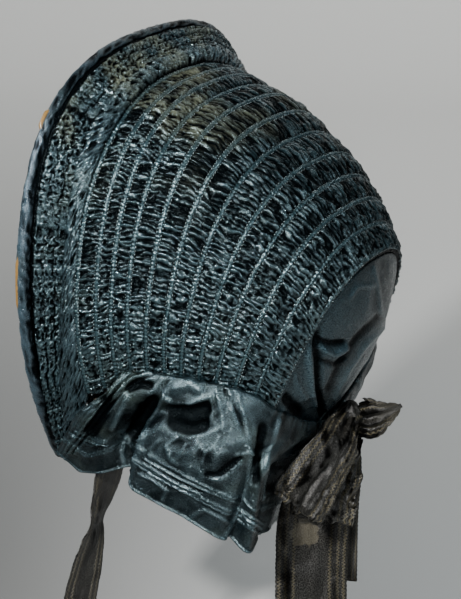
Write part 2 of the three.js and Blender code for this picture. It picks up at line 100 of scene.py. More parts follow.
def noiseOf(tree, vector, scale, detail=2.0, roughness=0.5):
    inputs = {"Vector": vector, "Scale": scale, "Detail": detail, "Roughness": roughness}
    return addNode(tree, "ShaderNodeTexNoise", inputs, noise_dimensions="3D").outputs[0]


# One rounded hump for each whole step of the phase
def humps(tree, phase):
    part = minus(tree, times(tree, calc(tree, "FRACT", phase), 2.0), 1.0)
    return minus(tree, 1.0, times(tree, part, part))


def blended(tree, pair, share):
    return plus(tree, times(tree, pair[0], minus(tree, 1.0, share)), times(tree, pair[1], share))


def mixTone(tree, share, start, end):
    inputs = {"Factor": share, "A": start, "B": end}
    return addNode(tree, "ShaderNodeMix", inputs, data_type="RGBA").outputs["Result"]


def newMaterial(name):
    material = bpy.data.materials.new(name)
    material.use_nodes = True
    tree = material.node_tree
    return material, tree, tree.nodes["Principled BSDF"]


def readAttribute(tree, name, kind="FLOAT"):
    node = addNode(tree, "GeometryNodeInputNamedAttribute", {"Name": name}, data_type=kind)
    return node.outputs["Attribute"]


def storeAttribute(tree, geometry, name, value, kind="FLOAT"):
    inputs = {"Geometry": geometry, "Name": name}
    node = addNode(tree, "GeometryNodeStoreNamedAttribute", inputs, data_type=kind, domain="POINT")
    socket = next(s for s in node.inputs if s.enabled and s.name == "Value")
    plug(tree, socket, value)
    return node.outputs[0]


def newTree(name, sizes):
    tree = bpy.data.node_groups.new(name, "GeometryNodeTree")
    tree.interface.new_socket("Geometry", in_out="INPUT", socket_type="NodeSocketGeometry")
    for label, kind in sizes.items():
        tree.interface.new_socket(label, in_out="INPUT", socket_type="NodeSocket" + kind)
    tree.interface.new_socket("Geometry", in_out="OUTPUT", socket_type="NodeSocketGeometry")
    return tree, tree.nodes.new("NodeGroupInput").outputs


def endTree(tree, geometry, material):
    real = addNode(tree, "GeometryNodeRealizeInstances", {"Geometry": geometry}).outputs[0]
    shaded = addNode(tree, "GeometryNodeSetShadeSmooth", {"Geometry": real}).outputs[0]
    inputs = {"Geometry": shaded, "Material": material}
    painted = addNode(tree, "GeometryNodeSetMaterial", inputs).outputs[0]
    tree.links.new(painted, tree.nodes.new("NodeGroupOutput").inputs[0])


# Runs a tree on an object and keeps the result as a plain mesh
def grow(piece, tree, values):
    modifier = piece.modifiers.new("grow", "NODES")
    modifier.node_group = tree
    for item in tree.interface.items_tree:
        if item.item_type == "SOCKET" and item.in_out == "INPUT" and item.name in values:
            modifier[item.identifier] = values[item.name]
    depsgraph = bpy.context.evaluated_depsgraph_get()
    depsgraph.update()
    made = piece.evaluated_get(depsgraph)
    mesh = bpy.data.meshes.new_from_object(made, preserve_all_data_layers=True, depsgraph=depsgraph)
    piece.modifiers.remove(modifier)
    piece.data = mesh
    return piece


# The hood: its hoops follow the same measures as the frame's own
hood = {"height": 199 * mm, "halfWidth": 117 * mm, "depth": 189 * mm, "shoulder": 2.4, "wall": 2 * mm,
        "seatDepth": 88 * mm, "seatHeight": 161 * mm, "shelf": 2.7 * mm, "casing": 2 * mm, "gap": 0.4 * mm}
hoopColumns = ("footY", "footZ", "topY", "topZ", "half", "foot", "widest", "square", "bow")
hoops = [
    (0.0, -0.3, 0.153, 1.0, 1.145, 0.585, 0.62, 1.12, 0),         # the brim's edge
    (0.063, -0.275, 0.222, 0.93, 0.99, 0.66, 0.66, 1.08, 0.01),   # the stepped seam
    (0.217, -0.02, 0.27, 0.875, 1.0, 0.855, 0.37, 1.06, 0),       # then the twelve canes
    (0.269, 0.0, 0.333, 0.865, 0.983, 0.842, 0.37, 1.06, 0),
    (0.314, 0.02, 0.381, 0.85, 0.958, 0.826, 0.355, 1.06, 0),
    (0.364, 0.034, 0.434, 0.82, 0.933, 0.812, 0.34, 1.06, 0),
    (0.418, 0.04, 0.515, 0.8, 0.908, 0.796, 0.325, 1.06, 0),
    (0.472, 0.042, 0.593, 0.755, 0.883, 0.781, 0.305, 1.06, 0),
    (0.526, 0.04, 0.663, 0.695, 0.855, 0.768, 0.285, 1.06, 0),
    (0.58, 0.035, 0.748, 0.638, 0.825, 0.752, 0.262, 1.06, 0),
    (0.632, 0.03, 0.81, 0.578, 0.79, 0.733, 0.237, 1, 0),
    (0.685, 0.018, 0.868, 0.513, 0.742, 0.705, 0.215, 1, 0),
    (0.73, -0.01, 0.918, 0.445, 0.665, 0.645, 0.175, 1, 0),
    (0.765, -0.06, 0.968, 0.38, 0.575, 0.57, 0.14, 1, 0),
]
firstCane = 2
lastCane = len(hoops) - 1


def unit(vectors):
    return vectors / np.maximum(np.linalg.norm(vectors, axis=-1, keepdims=True), 1e-12)


def mix(a, b, t):
    return a + (b - a) * t


def ease(value, low, high):
    t = np.clip((value - low) / (high - low), 0, 1)
    return t * t * (3 - 2 * t)


# Smooth chance values on a plane, from 0 to 1
def softNoise(x, y, seed=0):
    column, row = np.floor(x).astype(np.int64), np.floor(y).astype(np.int64)
    u, v = ease(x - column, 0, 1), ease(y - row, 0, 1)

    def corner(right, up):
        mixed = (column + right) * 374761393 + (row + up) * 668265263 + seed * 974634777
        mixed = (mixed ^ (mixed >> 13)) * 1274126177
        return ((mixed ^ (mixed >> 16)) & 0xFFFF) / 65535

    return mix(mix(corner(0, 0), corner(1, 0), u), mix(corner(0, 1), corner(1, 1), u), v)


# The same with narrow creases, about zero
def sharpNoise(x, y, seed=0):
    return 0.5 - np.abs(2 * softNoise(x, y, seed) - 1)


# Creases of two sizes on a plane that is bent first, so that they don't run straight
def bentCreases(x, y, creases):
    size, wide, high, seed = creases["bend"]
    bend = size * softNoise(x / wide, y / high, seed)
    share, wide, high, seed = creases["broad"]
    broad = share * sharpNoise((x + bend) / wide, (y - bend) / high, seed)
    share, wide, high, seed = creases["small"]
    return broad + share * sharpNoise((x - bend) / wide + creases["aside"], (y + bend) / high, seed)


# A smooth line through keys that stand at given places
def throughKeys(keys, at, wanted):
    keys, at, wanted = np.asarray(keys, float), np.asarray(at, float), np.asarray(wanted, float)
    slopes = np.gradient(keys, at, axis=0)
    i = np.clip(np.searchsorted(at, wanted, side="right") - 1, 0, len(at) - 2)
    shape = (-1,) + (1,) * (keys.ndim - 1)
    step = (at[i + 1] - at[i]).reshape(shape)
    t = (wanted - at[i]).reshape(shape) / step
    curveStart = (2 * t ** 3 - 3 * t ** 2 + 1) * keys[i] + (t ** 3 - 2 * t ** 2 + t) * step * slopes[i]
    curveEnd = (3 * t ** 2 - 2 * t ** 3) * keys[i + 1] + (t ** 3 - t ** 2) * step * slopes[i + 1]
    return curveStart + curveEnd


# Points at even steps along a polyline
def evenly(points, count):
    steps = np.linalg.norm(np.diff(points, axis=0), axis=1)
    reach = np.concatenate([[0], np.cumsum(steps)])
    wanted = np.linspace(0, reach[-1], count)
    return np.stack([np.interp(wanted, reach, points[:, i]) for i in range(3)], axis=1)


# A hoop from its left foot over the top to its right foot
def hoopLine(row, count):
    hoop = dict(zip(hoopColumns, hoops[row]))
    leg = np.linspace(0, hoop["widest"], 40, endpoint=False)
    legHalf = mix(hoop["half"], hoop["foot"], ((hoop["widest"] - leg) / hoop["widest"]) ** 2)
    angle = np.linspace(0, math.pi / 2, 200)
    power = 2 / (hood["shoulder"] * hoop["square"])
    arch = mix(hoop["widest"], 1, np.sin(angle) ** power)
    archHalf = hoop["half"] * np.maximum(np.cos(angle), 0) ** power
    up = np.concatenate([leg, arch])
    half = np.concatenate([legHalf, archHalf])
    back = mix(hoop["footY"], hoop["topY"], up) + hoop["bow"] * 4 * up * (1 - up)
    y = back * hood["depth"] - hood["seatDepth"]
    z = mix(hoop["footZ"], hoop["topZ"], up) * hood["height"] - hood["seatHeight"]
    left = np.stack([half * hood["halfWidth"], y, z], axis=1)
    right = (left * (-1, 1, 1))[::-1][1:]
    return evenly(np.concatenate([left, right]), count)


def hoopNormals(row, count):
    along = np.gradient(hoopLine(row, count), axis=0)
    across = hoopLine(min(row + 1, lastCane), count) - hoopLine(max(row - 1, 0), count)
    return unit(np.cross(across, along))


def hoopLength(row):
    return np.linalg.norm(np.diff(hoopLine(row, 200), axis=0), axis=1).sum()


# The hood between two hoops, at shares of its width, raised by lifts;
# keepFrom and keepTo stay free at its two edges
def hoodGrid(row, count, shares, lifts, keepFrom=0.0, keepTo=0.0):
    start, end = hoopLine(row, count), hoopLine(row + 1, count)
    width = np.linalg.norm(end - start, axis=1, keepdims=True)
    startOut, endOut = hoopNormals(row, count), hoopNormals(row + 1, count)
    points, outs, places = [], [], []
    for share, lift in zip(shares, lifts):
        t = (keepFrom + share * (width - keepFrom - keepTo)) / width
        out = unit(mix(startOut, endOut, t))
        lift = lift(width) if callable(lift) else lift
        points.append(mix(start, end, t) + out * lift)
        outs.append(out)
        places.append(t[:, 0] * width[:, 0])
    return np.array(points), np.array(outs), np.array(places)


# Meshes

def addObject(name, data):
    made = bpy.data.objects.new(name, data)
    bpy.context.scene.collection.objects.link(made)
    return made


def meshPiece(name, points, faces):
    mesh = bpy.data.meshes.new(name)
    mesh.from_pydata(np.asarray(points).reshape(-1, 3).tolist(), [], faces)
    mesh.update()
    return addObject(name, mesh)


# One material and smooth shading
def paint(piece, material):
    piece.data.polygons.foreach_set("use_smooth", [True] * len(piece.data.polygons))
    piece.data.materials.append(material)


# Values of the outer side, then the same for the inner side in turned order
def bothSides(values):
    return np.concatenate([values, values[::-1]])


# Places on the flat cloth, from lengths along and across it
def flatPlaces(along, across):
    return np.stack(np.broadcast_arrays(along, across, 0.0), axis=-1)


# How far each point of a grid stands from the one before it; the first has none
def stepsOf(points, axis=0):
    return np.linalg.norm(np.diff(points, axis=axis, prepend=np.take(points, [0], axis=axis)), axis=-1)


def setValues(piece, name, values, kind="FLOAT"):
    field = "vector" if kind == "FLOAT_VECTOR" else "value"
    made = piece.data.attributes.new(name, kind, "POINT")
    made.data.foreach_set(field, np.asarray(values, np.float32).ravel())


# A closed wall: rings of equal length set side by side along columns, with both ends capped
def ringFaces(rings, columns):
    ring, column = np.meshgrid(np.arange(rings), np.arange(columns - 1), indexing="ij")
    after = (ring + 1) % rings
    a, b = ring * columns + column, after * columns + column
    faces = np.stack([a, b, b + 1, a + 1], axis=-1).reshape(-1, 4).tolist()
    faces.append([r * columns for r in range(rings)][::-1])
    faces.append([r * columns + columns - 1 for r in range(rings)])
    return faces


# Cloth between an outer and an inner grid; outwards is where gathers may push the outer one
def clothWall(name, outer, inner, outwards, along, across, places):
    rings = len(outer) + len(inner)
    columns = outer.shape[1]
    points = np.concatenate([outer, inner[::-1]])
    piece = meshPiece(name, points, ringFaces(rings, columns))
    blank = np.zeros_like(inner)
    backAlong = np.broadcast_to(along, inner.shape[:2])
    backAcross = np.broadcast_to(np.linspace(1, 0, len(inner))[:, None], inner.shape[:2])
    setValues(piece, "outwards", np.concatenate([outwards, blank]), "FLOAT_VECTOR")
    tangent = unit(np.gradient(outer, axis=1))
    setValues(piece, "tangent", np.concatenate([tangent, blank]), "FLOAT_VECTOR")
    fullAlong = np.concatenate([np.broadcast_to(along, outer.shape[:2]), backAlong])
    fullAcross = np.concatenate([np.broadcast_to(across, outer.shape[:2]), backAcross])
    width = places[-1] - places[0]
    setValues(piece, "along", fullAlong)
    setValues(piece, "across", fullAcross)
    setValues(piece, "width", np.broadcast_to(width, (rings, columns)))
    place = np.stack([fullAlong, fullAcross * width, np.zeros_like(fullAlong)], axis=-1)
    setValues(piece, "clothPlace", place, "FLOAT_VECTOR")
    return piece


# A thin sheet round a grid of points, raised by extra: rows run across it, columns along it
def sheetWall(name, grid, wall, extra, material, shadeContrast=3 * mm):
    along, across = np.gradient(grid, axis=1), np.gradient(grid, axis=0)
    outwards = unit(np.cross(across, along))
    grid = grid + outwards * extra[..., None]
    outer, inner = grid + outwards * wall / 2, grid - outwards * wall / 2
    piece = meshPiece(name, np.concatenate([outer, inner[::-1]]), ringFaces(2 * len(grid), grid.shape[1]))
    along, across = stepsOf(grid, 1).mean(axis=0).cumsum(), stepsOf(grid).mean(axis=1).cumsum()
    place = flatPlaces(along[None], across[:, None])
    setValues(piece, "clothPlace", bothSides(place), "FLOAT_VECTOR")
    # painted shade: the sheet gets a darker tone where it is pushed in and a lighter one where it stands out
    setValues(piece, "ridge", bothSides(np.clip(0.45 + extra / shadeContrast, 0, 1)))
    paint(piece, material)
    return piece


# Where points fall in the photo, in its pixels
photo = {"width": 461, "height": 599, "pixel": 0.64 * mm, "reach": 1.6, "turn": 117, "rise": 16,
         "middle": (30.5, 100.5), "centre": (0, -25 * mm, -197 * mm)}


def toPhoto(points):
    turn, rise = math.radians(photo["turn"]), math.radians(photo["rise"])
    right = np.array((math.cos(turn), math.sin(turn), 0))
    back = np.array((math.sin(turn) * math.cos(rise), -math.cos(turn) * math.cos(rise), math.sin(rise)))
    up = np.cross(back, right)
    local = points - np.array(photo["centre"])
    u = local @ right - photo["middle"][0] * photo["pixel"]
    v = local @ up - photo["middle"][1] * photo["pixel"]
    near = photo["reach"] / (photo["reach"] - local @ back) / photo["pixel"]
    return np.stack([photo["width"] / 2 + u * near, photo["height"] / 2 - v * near], axis=-1)


# Folds laid along lines of photo pixels. Each row of a table says the half width in pixels, the height in mm,
# whether the fold is rounded or sharp, and the line.
def foldHeights(pixels, folds):
    heights = np.zeros(pixels.shape[:-1])
    for wide, high, isRound, pixelLine in folds:
        nearest = np.full(heights.shape, 1e9)
        line = np.array(pixelLine, float)
        for a, b in zip(line[:-1], line[1:]):
            span = b - a
            t = np.clip(((pixels - a) @ span) / (span @ span), 0, 1)
            nearest = np.minimum(nearest, np.linalg.norm(pixels - (a + t[..., None] * span), axis=-1))
        shape = np.clip(1 - nearest / wide, 0, 1)
        heights += high * mm * (shape ** 2 * (3 - 2 * shape) if isRound else shape)
    return heights


# Gathers: pleats that start at both edges of a band and meet half way,
# and a crumple that grows where the silk is slack
gatherShape = {"drift": 90.0, "reach": 4.0, "unevenScale": 60.0, "uneven": 3.2,
               "smallest": 0.35, "spread": 0.65,
               "edges": ((0.0, 1.0), (37.3, 0.87)),      # place in the noise and stretch, for each edge
               "meet": (0.3, 0.7), "meetDrift": 0.9, "atEdge": 0.12, "warp": 0.006, "rough": (2.5, 0.55),
               "sharp": 5.0, "slackLoss": 0.45, "innerPaintedLight": 0.62}
gatherSizes = ("pitch", "depth", "wander", "crumple", "crumpleSize", "edge", "lean")


def gatherTree():
    shape = gatherShape
    sizes = dict.fromkeys(gatherSizes + ("seed",), "Float")
    tree, given = newTree("gathers", dict(sizes, material="Material"))
    along, across = readAttribute(tree, "along"), readAttribute(tree, "across")
    width, slack = readAttribute(tree, "width"), readAttribute(tree, "slack")
    outwards, tangent = (readAttribute(tree, name, "FLOAT_VECTOR") for name in ("outwards", "tangent"))
    place = joined(tree, along, times(tree, across, width), given["seed"])
    drift = minus(tree, noiseOf(tree, scaled(tree, place, shape["drift"]), 1.0, 2.0), 0.5)
    near = times(tree, times(tree, drift, given["wander"]), shape["reach"])
    moved = plus(tree, along, near)
    heights, leans = [], []
    for turn, stretch in shape["edges"]:
        lone = scaled(tree, joined(tree, along, turn, given["seed"]), shape["unevenScale"])
        uneven = times(tree, noiseOf(tree, lone, 1.0, 1.0), shape["uneven"])
        count = calc(tree, "DIVIDE", moved, times(tree, given["pitch"], stretch))
        phase = plus(tree, plus(tree, count, uneven), turn)
        ridge = humps(tree, phase)
        number = joined(tree, calc(tree, "FLOOR", phase), given["seed"], 0.0)
        chance = addNode(tree, "ShaderNodeTexWhiteNoise", {"Vector": number}, noise_dimensions="2D")
        pick = chance.outputs["Value"]
        size = plus(tree, times(tree, pick, shape["spread"]), shape["smallest"])
        heights.append(times(tree, ridge, size))
        leans.append(times(tree, ridge, minus(tree, pick, 0.5)))
    meet = plus(tree, across, times(tree, drift, shape["meetDrift"]))
    share = smooth(tree, meet, *shape["meet"])
    pleat, lean = blended(tree, heights, share), blended(tree, leans, share)
    nearer = calc(tree, "MINIMUM", across, minus(tree, 1.0, across))
    body = smooth(tree, times(tree, nearer, width), 0.0, given["edge"], shape["atEdge"], 1.0)
    bent = vectorCalc(tree, "ADD", place, scaled(tree, joined(tree, drift, near, 0.0), shape["warp"]))
    inverse = calc(tree, "DIVIDE", 1.0, given["crumpleSize"])
    rough = noiseOf(tree, scaled(tree, bent, inverse), 1.0, *shape["rough"])
    crease = calc(tree, "ABSOLUTE", minus(tree, rough, 0.5))
    crease = minus(tree, 1.0, times(tree, crease, shape["sharp"]))
    crumple = times(tree, times(tree, crease, given["crumple"]), slack)
    even = minus(tree, 1.0, times(tree, slack, shape["slackLoss"]))
    rise = times(tree, times(tree, pleat, given["depth"]), even)
    rise = times(tree, plus(tree, rise, crumple), body)
    side = times(tree, times(tree, lean, given["lean"]), body)
    push = vectorCalc(tree, "ADD", scaled(tree, outwards, rise), scaled(tree, tangent, side))
    inputs = {"Geometry": given["Geometry"], "Offset": push}
    shaped = addNode(tree, "GeometryNodeSetPosition", inputs).outputs[0]
    # painted shade and light: the rise of the gathers, stored as ridge, darkens the hollows and lightens the
    # crests
    shadeLevel = calc(tree, "DIVIDE", rise, plus(tree, given["depth"], given["crumple"]))
    inside = minus(tree, 1.0, measured(tree, "LENGTH", outwards))      # outwards is zero on the inner side
    # painted light: the inner side, which lies in shade, is given at least a middling tone
    shadeLevel = calc(tree, "MAXIMUM", shadeLevel, times(tree, inside, shape["innerPaintedLight"]))
    endTree(tree, storeAttribute(tree, shaped, "ridge", shadeLevel), given["material"])
    return tree


# Places of the photo, in its pixels, where the silk has turned olive
wornSpots = [{"pixel": (214, 124), "radius": 34 * mm}, {"pixel": (178, 66), "radius": 26 * mm},
             {"pixel": (262, 130), "radius": 20 * mm}, {"pixel": (352, 236), "radius": 18 * mm}]


def nearestOnHood(pixel):
    points = np.concatenate([hoopLine(row, 200)[:110] for row in range(len(hoops))])
    return points[np.linalg.norm(toPhoto(points) - pixel, axis=1).argmin()]


# Silk: a dark taffeta with a fine rib, soft creases and an olive wear on what stands proud. Its tone is
# painted shade in the hollows and painted light on the ridges
silkLook = {"deep": (0.0003, 0.0006, 0.0008), "lit": (0.0065, 0.0145, 0.0175), "worn": (0.07, 0.074, 0.048),
            "tint": (0.68, 0.92, 1.0), "ridge": (0.28, 0.64), "roughness": 0.2, "specular": (0.02, 1.25),
            "patches": (22.0, 4.0, 0.6), "faded": (0.5, 0.75), "spotFaded": (0.3, 0.6), "spotCore": 0.4,
            "wear": 0.85, "wearRidge": (0.2, 0.6), "wearFrom": -0.06, "wearClimb": 0.09, "wearLeast": 0.1,
            "cloud": (130.0, 3.0), "grain": 0.3, "grainScale": (1300, 1300, 1), "grainRange": (0.36, 0.64),
            "creaseScale": (420, 260, 1), "creaseDepth": 0.00035, "fineScale": (1500, 1100, 1),
            "fineDepth": 0.00012, "rib": 0.55 * mm, "ribDepth": 0.00002}
satinLook = dict(silkLook, lit=(0.003, 0.0075, 0.0095), worn=(0.022, 0.03, 0.022), ridge=(0.28, 0.88),
                 roughness=0.28, specular=(0.03, 1.15), wear=0.4, wearFrom=-0.4, grain=0.75,
                 grainScale=(1000, 1300, 1), creaseScale=(160, 110, 1), creaseDepth=0.0003,
                 fineScale=(1500, 1200, 1), fineDepth=0.00013)


# How much of the olive tone shows: in patches and worn spots, on high folds, more so higher up
def wornShare(tree, spot, ridge, look):
    patches = noiseOf(tree, spot, *look["patches"])
    fade = smooth(tree, patches, *look["faded"])
    for place in wornSpots:
        far = measured(tree, "DISTANCE", spot, tuple(nearestOnHood(place["pixel"])))
        near = smooth(tree, far, look["spotCore"] * place["radius"], place["radius"], 1.0, 0.0)
        fade = plus(tree, fade, times(tree, near, smooth(tree, patches, *look["spotFaded"])))
    fade = calc(tree, "MINIMUM", fade, 1.0)
    up = addNode(tree, "ShaderNodeSeparateXYZ", {"Vector": spot}).outputs["Z"]
    climb = smooth(tree, up, look["wearFrom"], look["wearFrom"] + look["wearClimb"], look["wearLeast"], 1.0)
    high = times(tree, smooth(tree, ridge, *look["wearRidge"]), climb)
    return times(tree, times(tree, fade, high), look["wear"])


def silkMaterial(name, look):
    material, tree, shader = newMaterial(name)
    ridge = addNode(tree, "ShaderNodeAttribute", attribute_name="ridge").outputs["Fac"]
    cloth = addNode(tree, "ShaderNodeAttribute", attribute_name="clothPlace").outputs["Vector"]
    spot = addNode(tree, "ShaderNodeTexCoord").outputs["Object"]
    # painted shade and light: the tone runs from deep in the hollows to lit on the ridges
    tone = mixTone(tree, smooth(tree, ridge, *look["ridge"]), (*look["deep"], 1), (*look["lit"], 1))
    aged = mixTone(tree, wornShare(tree, spot, ridge, look), tone, (*look["worn"], 1))
    plug(tree, shader.inputs["Base Color"], aged)
    cloud = noiseOf(tree, spot, *look["cloud"])
    gloss = smooth(tree, cloud, 0.3, 0.7, look["roughness"] - 0.07, look["roughness"] + 0.09)
    plug(tree, shader.inputs["Roughness"], gloss)
    # painted shade on the reflection: the specular level is lowered in the hollows
    shine = smooth(tree, ridge, *look["ridge"], *look["specular"])
    grains = noiseOf(tree, vectorCalc(tree, "MULTIPLY", cloth, look["grainScale"]), 1.0, 2.0, 0.8)
    grains = smooth(tree, grains, *look["grainRange"], 1 - look["grain"], 1 + look["grain"])
    plug(tree, shader.inputs["Specular IOR Level"], times(tree, shine, grains))
    shader.inputs["Specular Tint"].default_value = (*look["tint"], 1)
    crease = noiseOf(tree, vectorCalc(tree, "MULTIPLY", cloth, look["creaseScale"]), 1.0, 4.0, 0.6)
    fine = noiseOf(tree, vectorCalc(tree, "MULTIPLY", cloth, look["fineScale"]), 1.0, 2.0, 0.5)
    fine = times(tree, calc(tree, "ABSOLUTE", minus(tree, fine, 0.5)), look["fineDepth"] * 4)
    parts = addNode(tree, "ShaderNodeSeparateXYZ", {"Vector": cloth}).outputs
    weft = calc(tree, "SINE", times(tree, parts["Y"], 2 * math.pi / look["rib"]))
    warp = calc(tree, "SINE", times(tree, parts["X"], 2 * math.pi / look["rib"]))
    weave = times(tree, plus(tree, weft, times(tree, warp, 0.5)), look["ribDepth"])
    relief = minus(tree, plus(tree, times(tree, crease, look["creaseDepth"]), weave), fine)
    bump = addNode(tree, "ShaderNodeBump", {"Height": relief, "Distance": 1.0, "Strength": 1.0})
    plug(tree, shader.inputs["Normal"], bump.outputs[0])
    return material


gathers = gatherTree()
drawnSilk = silkMaterial("drawn_silk", silkLook)
casingSilk = silkMaterial("casing_silk", dict(silkLook, wear=0.25, specular=(0.05, 0.9)))
smoothSilk = silkMaterial("smooth_silk", dict(satinLook, wear=0.1, lit=(0.0036, 0.0092, 0.0125),
                                              ridge=(0.2, 0.95), specular=(0.03, 0.72), grain=0.95,
                                              tint=(0.58, 0.88, 1.0)))


# A plain tone, a little darker and lighter from place to place
def plainMaterial(name, color, roughness):
    material, tree, shader = newMaterial(name)
    spot = addNode(tree, "ShaderNodeTexCoord").outputs["Object"]
    dark = tuple(c * 0.6 for c in color) + (1,)
    light = tuple(min(c * 1.4, 1) for c in color) + (1,)
    plug(tree, shader.inputs["Base Color"], mixTone(tree, noiseOf(tree, spot, 400.0, 3.0), dark, light))
    shader.inputs["Roughness"].default_value = roughness
    return material


thread = plainMaterial("silk_thread", (0.13, 0.16, 0.165), 0.45)
straw = plainMaterial("straw_cane", (0.11, 0.062, 0.016), 0.35)
curtainSilk = silkMaterial("curtain_silk", dict(satinLook, lit=(0.0023, 0.006, 0.0078),
                                                specular=(0.03, 1.05)))

# Ribbon: a dark ribbed ground with a toothed figure near both edges and worn lighter threads; its colour and
# reflection are darkened in the hollows as painted shade
ribbonLook = {"width": 30 * mm, "ground": (0.0022, 0.002, 0.0016), "worn": (0.044, 0.042, 0.033),
              "wear": 0.34, "wornLeast": 0.45, "wornMost": 1.6, "figure": (0.07, 0.062, 0.04),
              "figureStrength": 0.6, "roughness": 0.38, "specular": 0.36, "rib": 0.5 * mm,
              "tooth": 2.6 * mm, "toothLength": 3.4 * mm,
              "rows": (1.4 * mm, 5.6 * mm), "line": (0.2 * mm, 0.7 * mm), "grainScale": (1000.0, 1300.0, 1.0),
              "speckle": (0.46, 0.64), "hollowShade": (0.1, 0.62, 0.06, 1.0), "sheen": (0.4, 0.62, 0.25, 1.6),
              "ribDepth": 0.00003, "figureDepth": 0.00025, "grainDepth": 0.0003}
bowLook = dict(ribbonLook, width=46 * mm, figure=(0.075, 0.064, 0.036), wear=0.32, tooth=2.3 * mm,
               rows=(1.4 * mm, 5.4 * mm, 10.5 * mm))
streamerLook = dict(bowLook, specular=0.26, hole=(0.0105, 0.0537, -0.2705), holeSize=8.5 * mm,
                    holeEdge=1.5 * mm, holeRagged=13 * mm, underCloth=(0.034, 0.03, 0.021))


# A ragged hole, worn through to a lighter cloth
def holeShare(tree, spot, look):
    ragged = times(tree, minus(tree, noiseOf(tree, spot, 160.0, 4.0), 0.5), look["holeRagged"])
    away = plus(tree, measured(tree, "DISTANCE", spot, look["hole"]), ragged)
    return smooth(tree, away, look["holeSize"], look["holeSize"] + look["holeEdge"], 1.0, 0.0)


def ribbonMaterial(name, look):
    material, tree, shader = newMaterial(name)
    place = addNode(tree, "ShaderNodeAttribute", attribute_name="clothPlace").outputs["Vector"]
    spot = addNode(tree, "ShaderNodeTexCoord").outputs["Object"]
    parts = addNode(tree, "ShaderNodeSeparateXYZ", {"Vector": place}).outputs
    along, aside = parts["X"], calc(tree, "ABSOLUTE", parts["Y"])
    fromEdge = minus(tree, look["width"] / 2, aside)
    teeth = calc(tree, "FRACT", calc(tree, "DIVIDE", along, look["tooth"]))
    point = times(tree, calc(tree, "ABSOLUTE", minus(tree, teeth, 0.5)), look["toothLength"])
    figure = None
    for start in look["rows"]:
        shifted = minus(tree, fromEdge, plus(tree, point, start))
        band = minus(tree, 1.0, smooth(tree, calc(tree, "ABSOLUTE", shifted), *look["line"]))
        figure = band if figure is None else calc(tree, "MAXIMUM", figure, band)
    ribs = calc(tree, "SINE", times(tree, along, 2 * math.pi / look["rib"]))
    grain = noiseOf(tree, vectorCalc(tree, "MULTIPLY", place, look["grainScale"]), 1.0, 3.0, 0.7)
    speckle = smooth(tree, grain, *look["speckle"])
    patches = smooth(tree, noiseOf(tree, spot, 26.0, 3.0), 0.5, 0.75)
    worn = times(tree, speckle, plus(tree, patches, look["wornLeast"]))
    worn = times(tree, worn, look["wear"] * look["wornMost"])
    cloth = mixTone(tree, worn, (*look["ground"], 1), (*look["worn"], 1))
    if "hole" in look:
        cloth = mixTone(tree, holeShare(tree, spot, look), cloth, (*look["underCloth"], 1))
    drawn = mixTone(tree, times(tree, figure, look["figureStrength"]), cloth, (*look["figure"], 1))
    ridge = addNode(tree, "ShaderNodeAttribute", attribute_name="ridge").outputs["Fac"]
    # painted shade: the ribbon's colour and reflection are darkened where the ribbon sinks
    depth = smooth(tree, ridge, *look["hollowShade"])
    plug(tree, shader.inputs["Base Color"], scaled(tree, drawn, depth))
    shine = times(tree, depth, smooth(tree, grain, *look["sheen"]))
    plug(tree, shader.inputs["Specular IOR Level"], times(tree, shine, look["specular"]))
    plug(tree, shader.inputs["Roughness"], plus(tree, look["roughness"], times(tree, speckle, 0.15)))
    relief = plus(tree, times(tree, ribs, look["ribDepth"]), times(tree, figure, look["figureDepth"]))
    relief = plus(tree, relief, times(tree, grain, look["grainDepth"]))
    bump = addNode(tree, "ShaderNodeBump", {"Height": relief, "Strength": 0.9, "Distance": 1.0})
    plug(tree, shader.inputs["Normal"], bump.outputs[0])
    return material


tieSilk = ribbonMaterial("tie_ribbon", ribbonLook)
bowSilk = ribbonMaterial("bow_ribbon", bowLook)
streamerSilk = ribbonMaterial("streamer_ribbon", streamerLook)
# painted light: the puff band gets a lighter copy of the drawn silk's tone
puffSilk = silkMaterial("puff_silk", dict(silkLook, lit=(0.012, 0.022, 0.027), wear=0.5, ridge=(0.22, 0.6)))
# painted sheen: the binding gets a lighter copy of the satin tone
bindingSilk = silkMaterial("binding_silk", dict(satinLook, lit=(0.012, 0.024, 0.032), roughness=0.3,
                                                ridge=(0.1, 0.85), grain=0.5, tint=(0.72, 0.86, 1.0)))


def finishPiece(piece, slot, *nodes):
    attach(piece, "root")
    if nodes:
        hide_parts(*nodes)
    return piece


# How slack the silk is: more at the lower left of the hood, and in single places
def slackness(points, low=-0.15, high=0.0):
    down = 1 - ease(points[..., 2], low, high)
    x, y, z = points[..., 0], points[..., 1], points[..., 2]
    patches = 0.5 + 0.5 * np.sin(y * 61 + 2.3) * np.sin(z * 47 + x * 21)
    return np.clip(0.15 + 0.75 * down + 0.35 * patches * (1 - down), 0, 1)


# A gathered strip between two hoops with a plain inner side;
# it was cut longer and a little wider than it shows
def gatheredStrip(name, row, sizes, outerSide, innerEdges, across, slack, silk, seed):
    outer, outs, places = outerSide
    columns = outer.shape[1]
    inner, _, _ = hoodGrid(row, columns, (0, 0.5, 1), (-hood["wall"] / 2,) * 3, *innerEdges)
    along = np.linspace(-0.5, 0.5, columns) * hoopLength(row)
    piece = clothWall(name, outer, inner, outs, along, across[:, None], places)
    slack = np.broadcast_to(slack, outer.shape[:2])
    setValues(piece, "slack", np.concatenate([slack, np.zeros(inner.shape[:2])]))
    grow(piece, gathers, dict({key: sizes[key] for key in gatherSizes}, seed=seed, material=silk))
    return piece


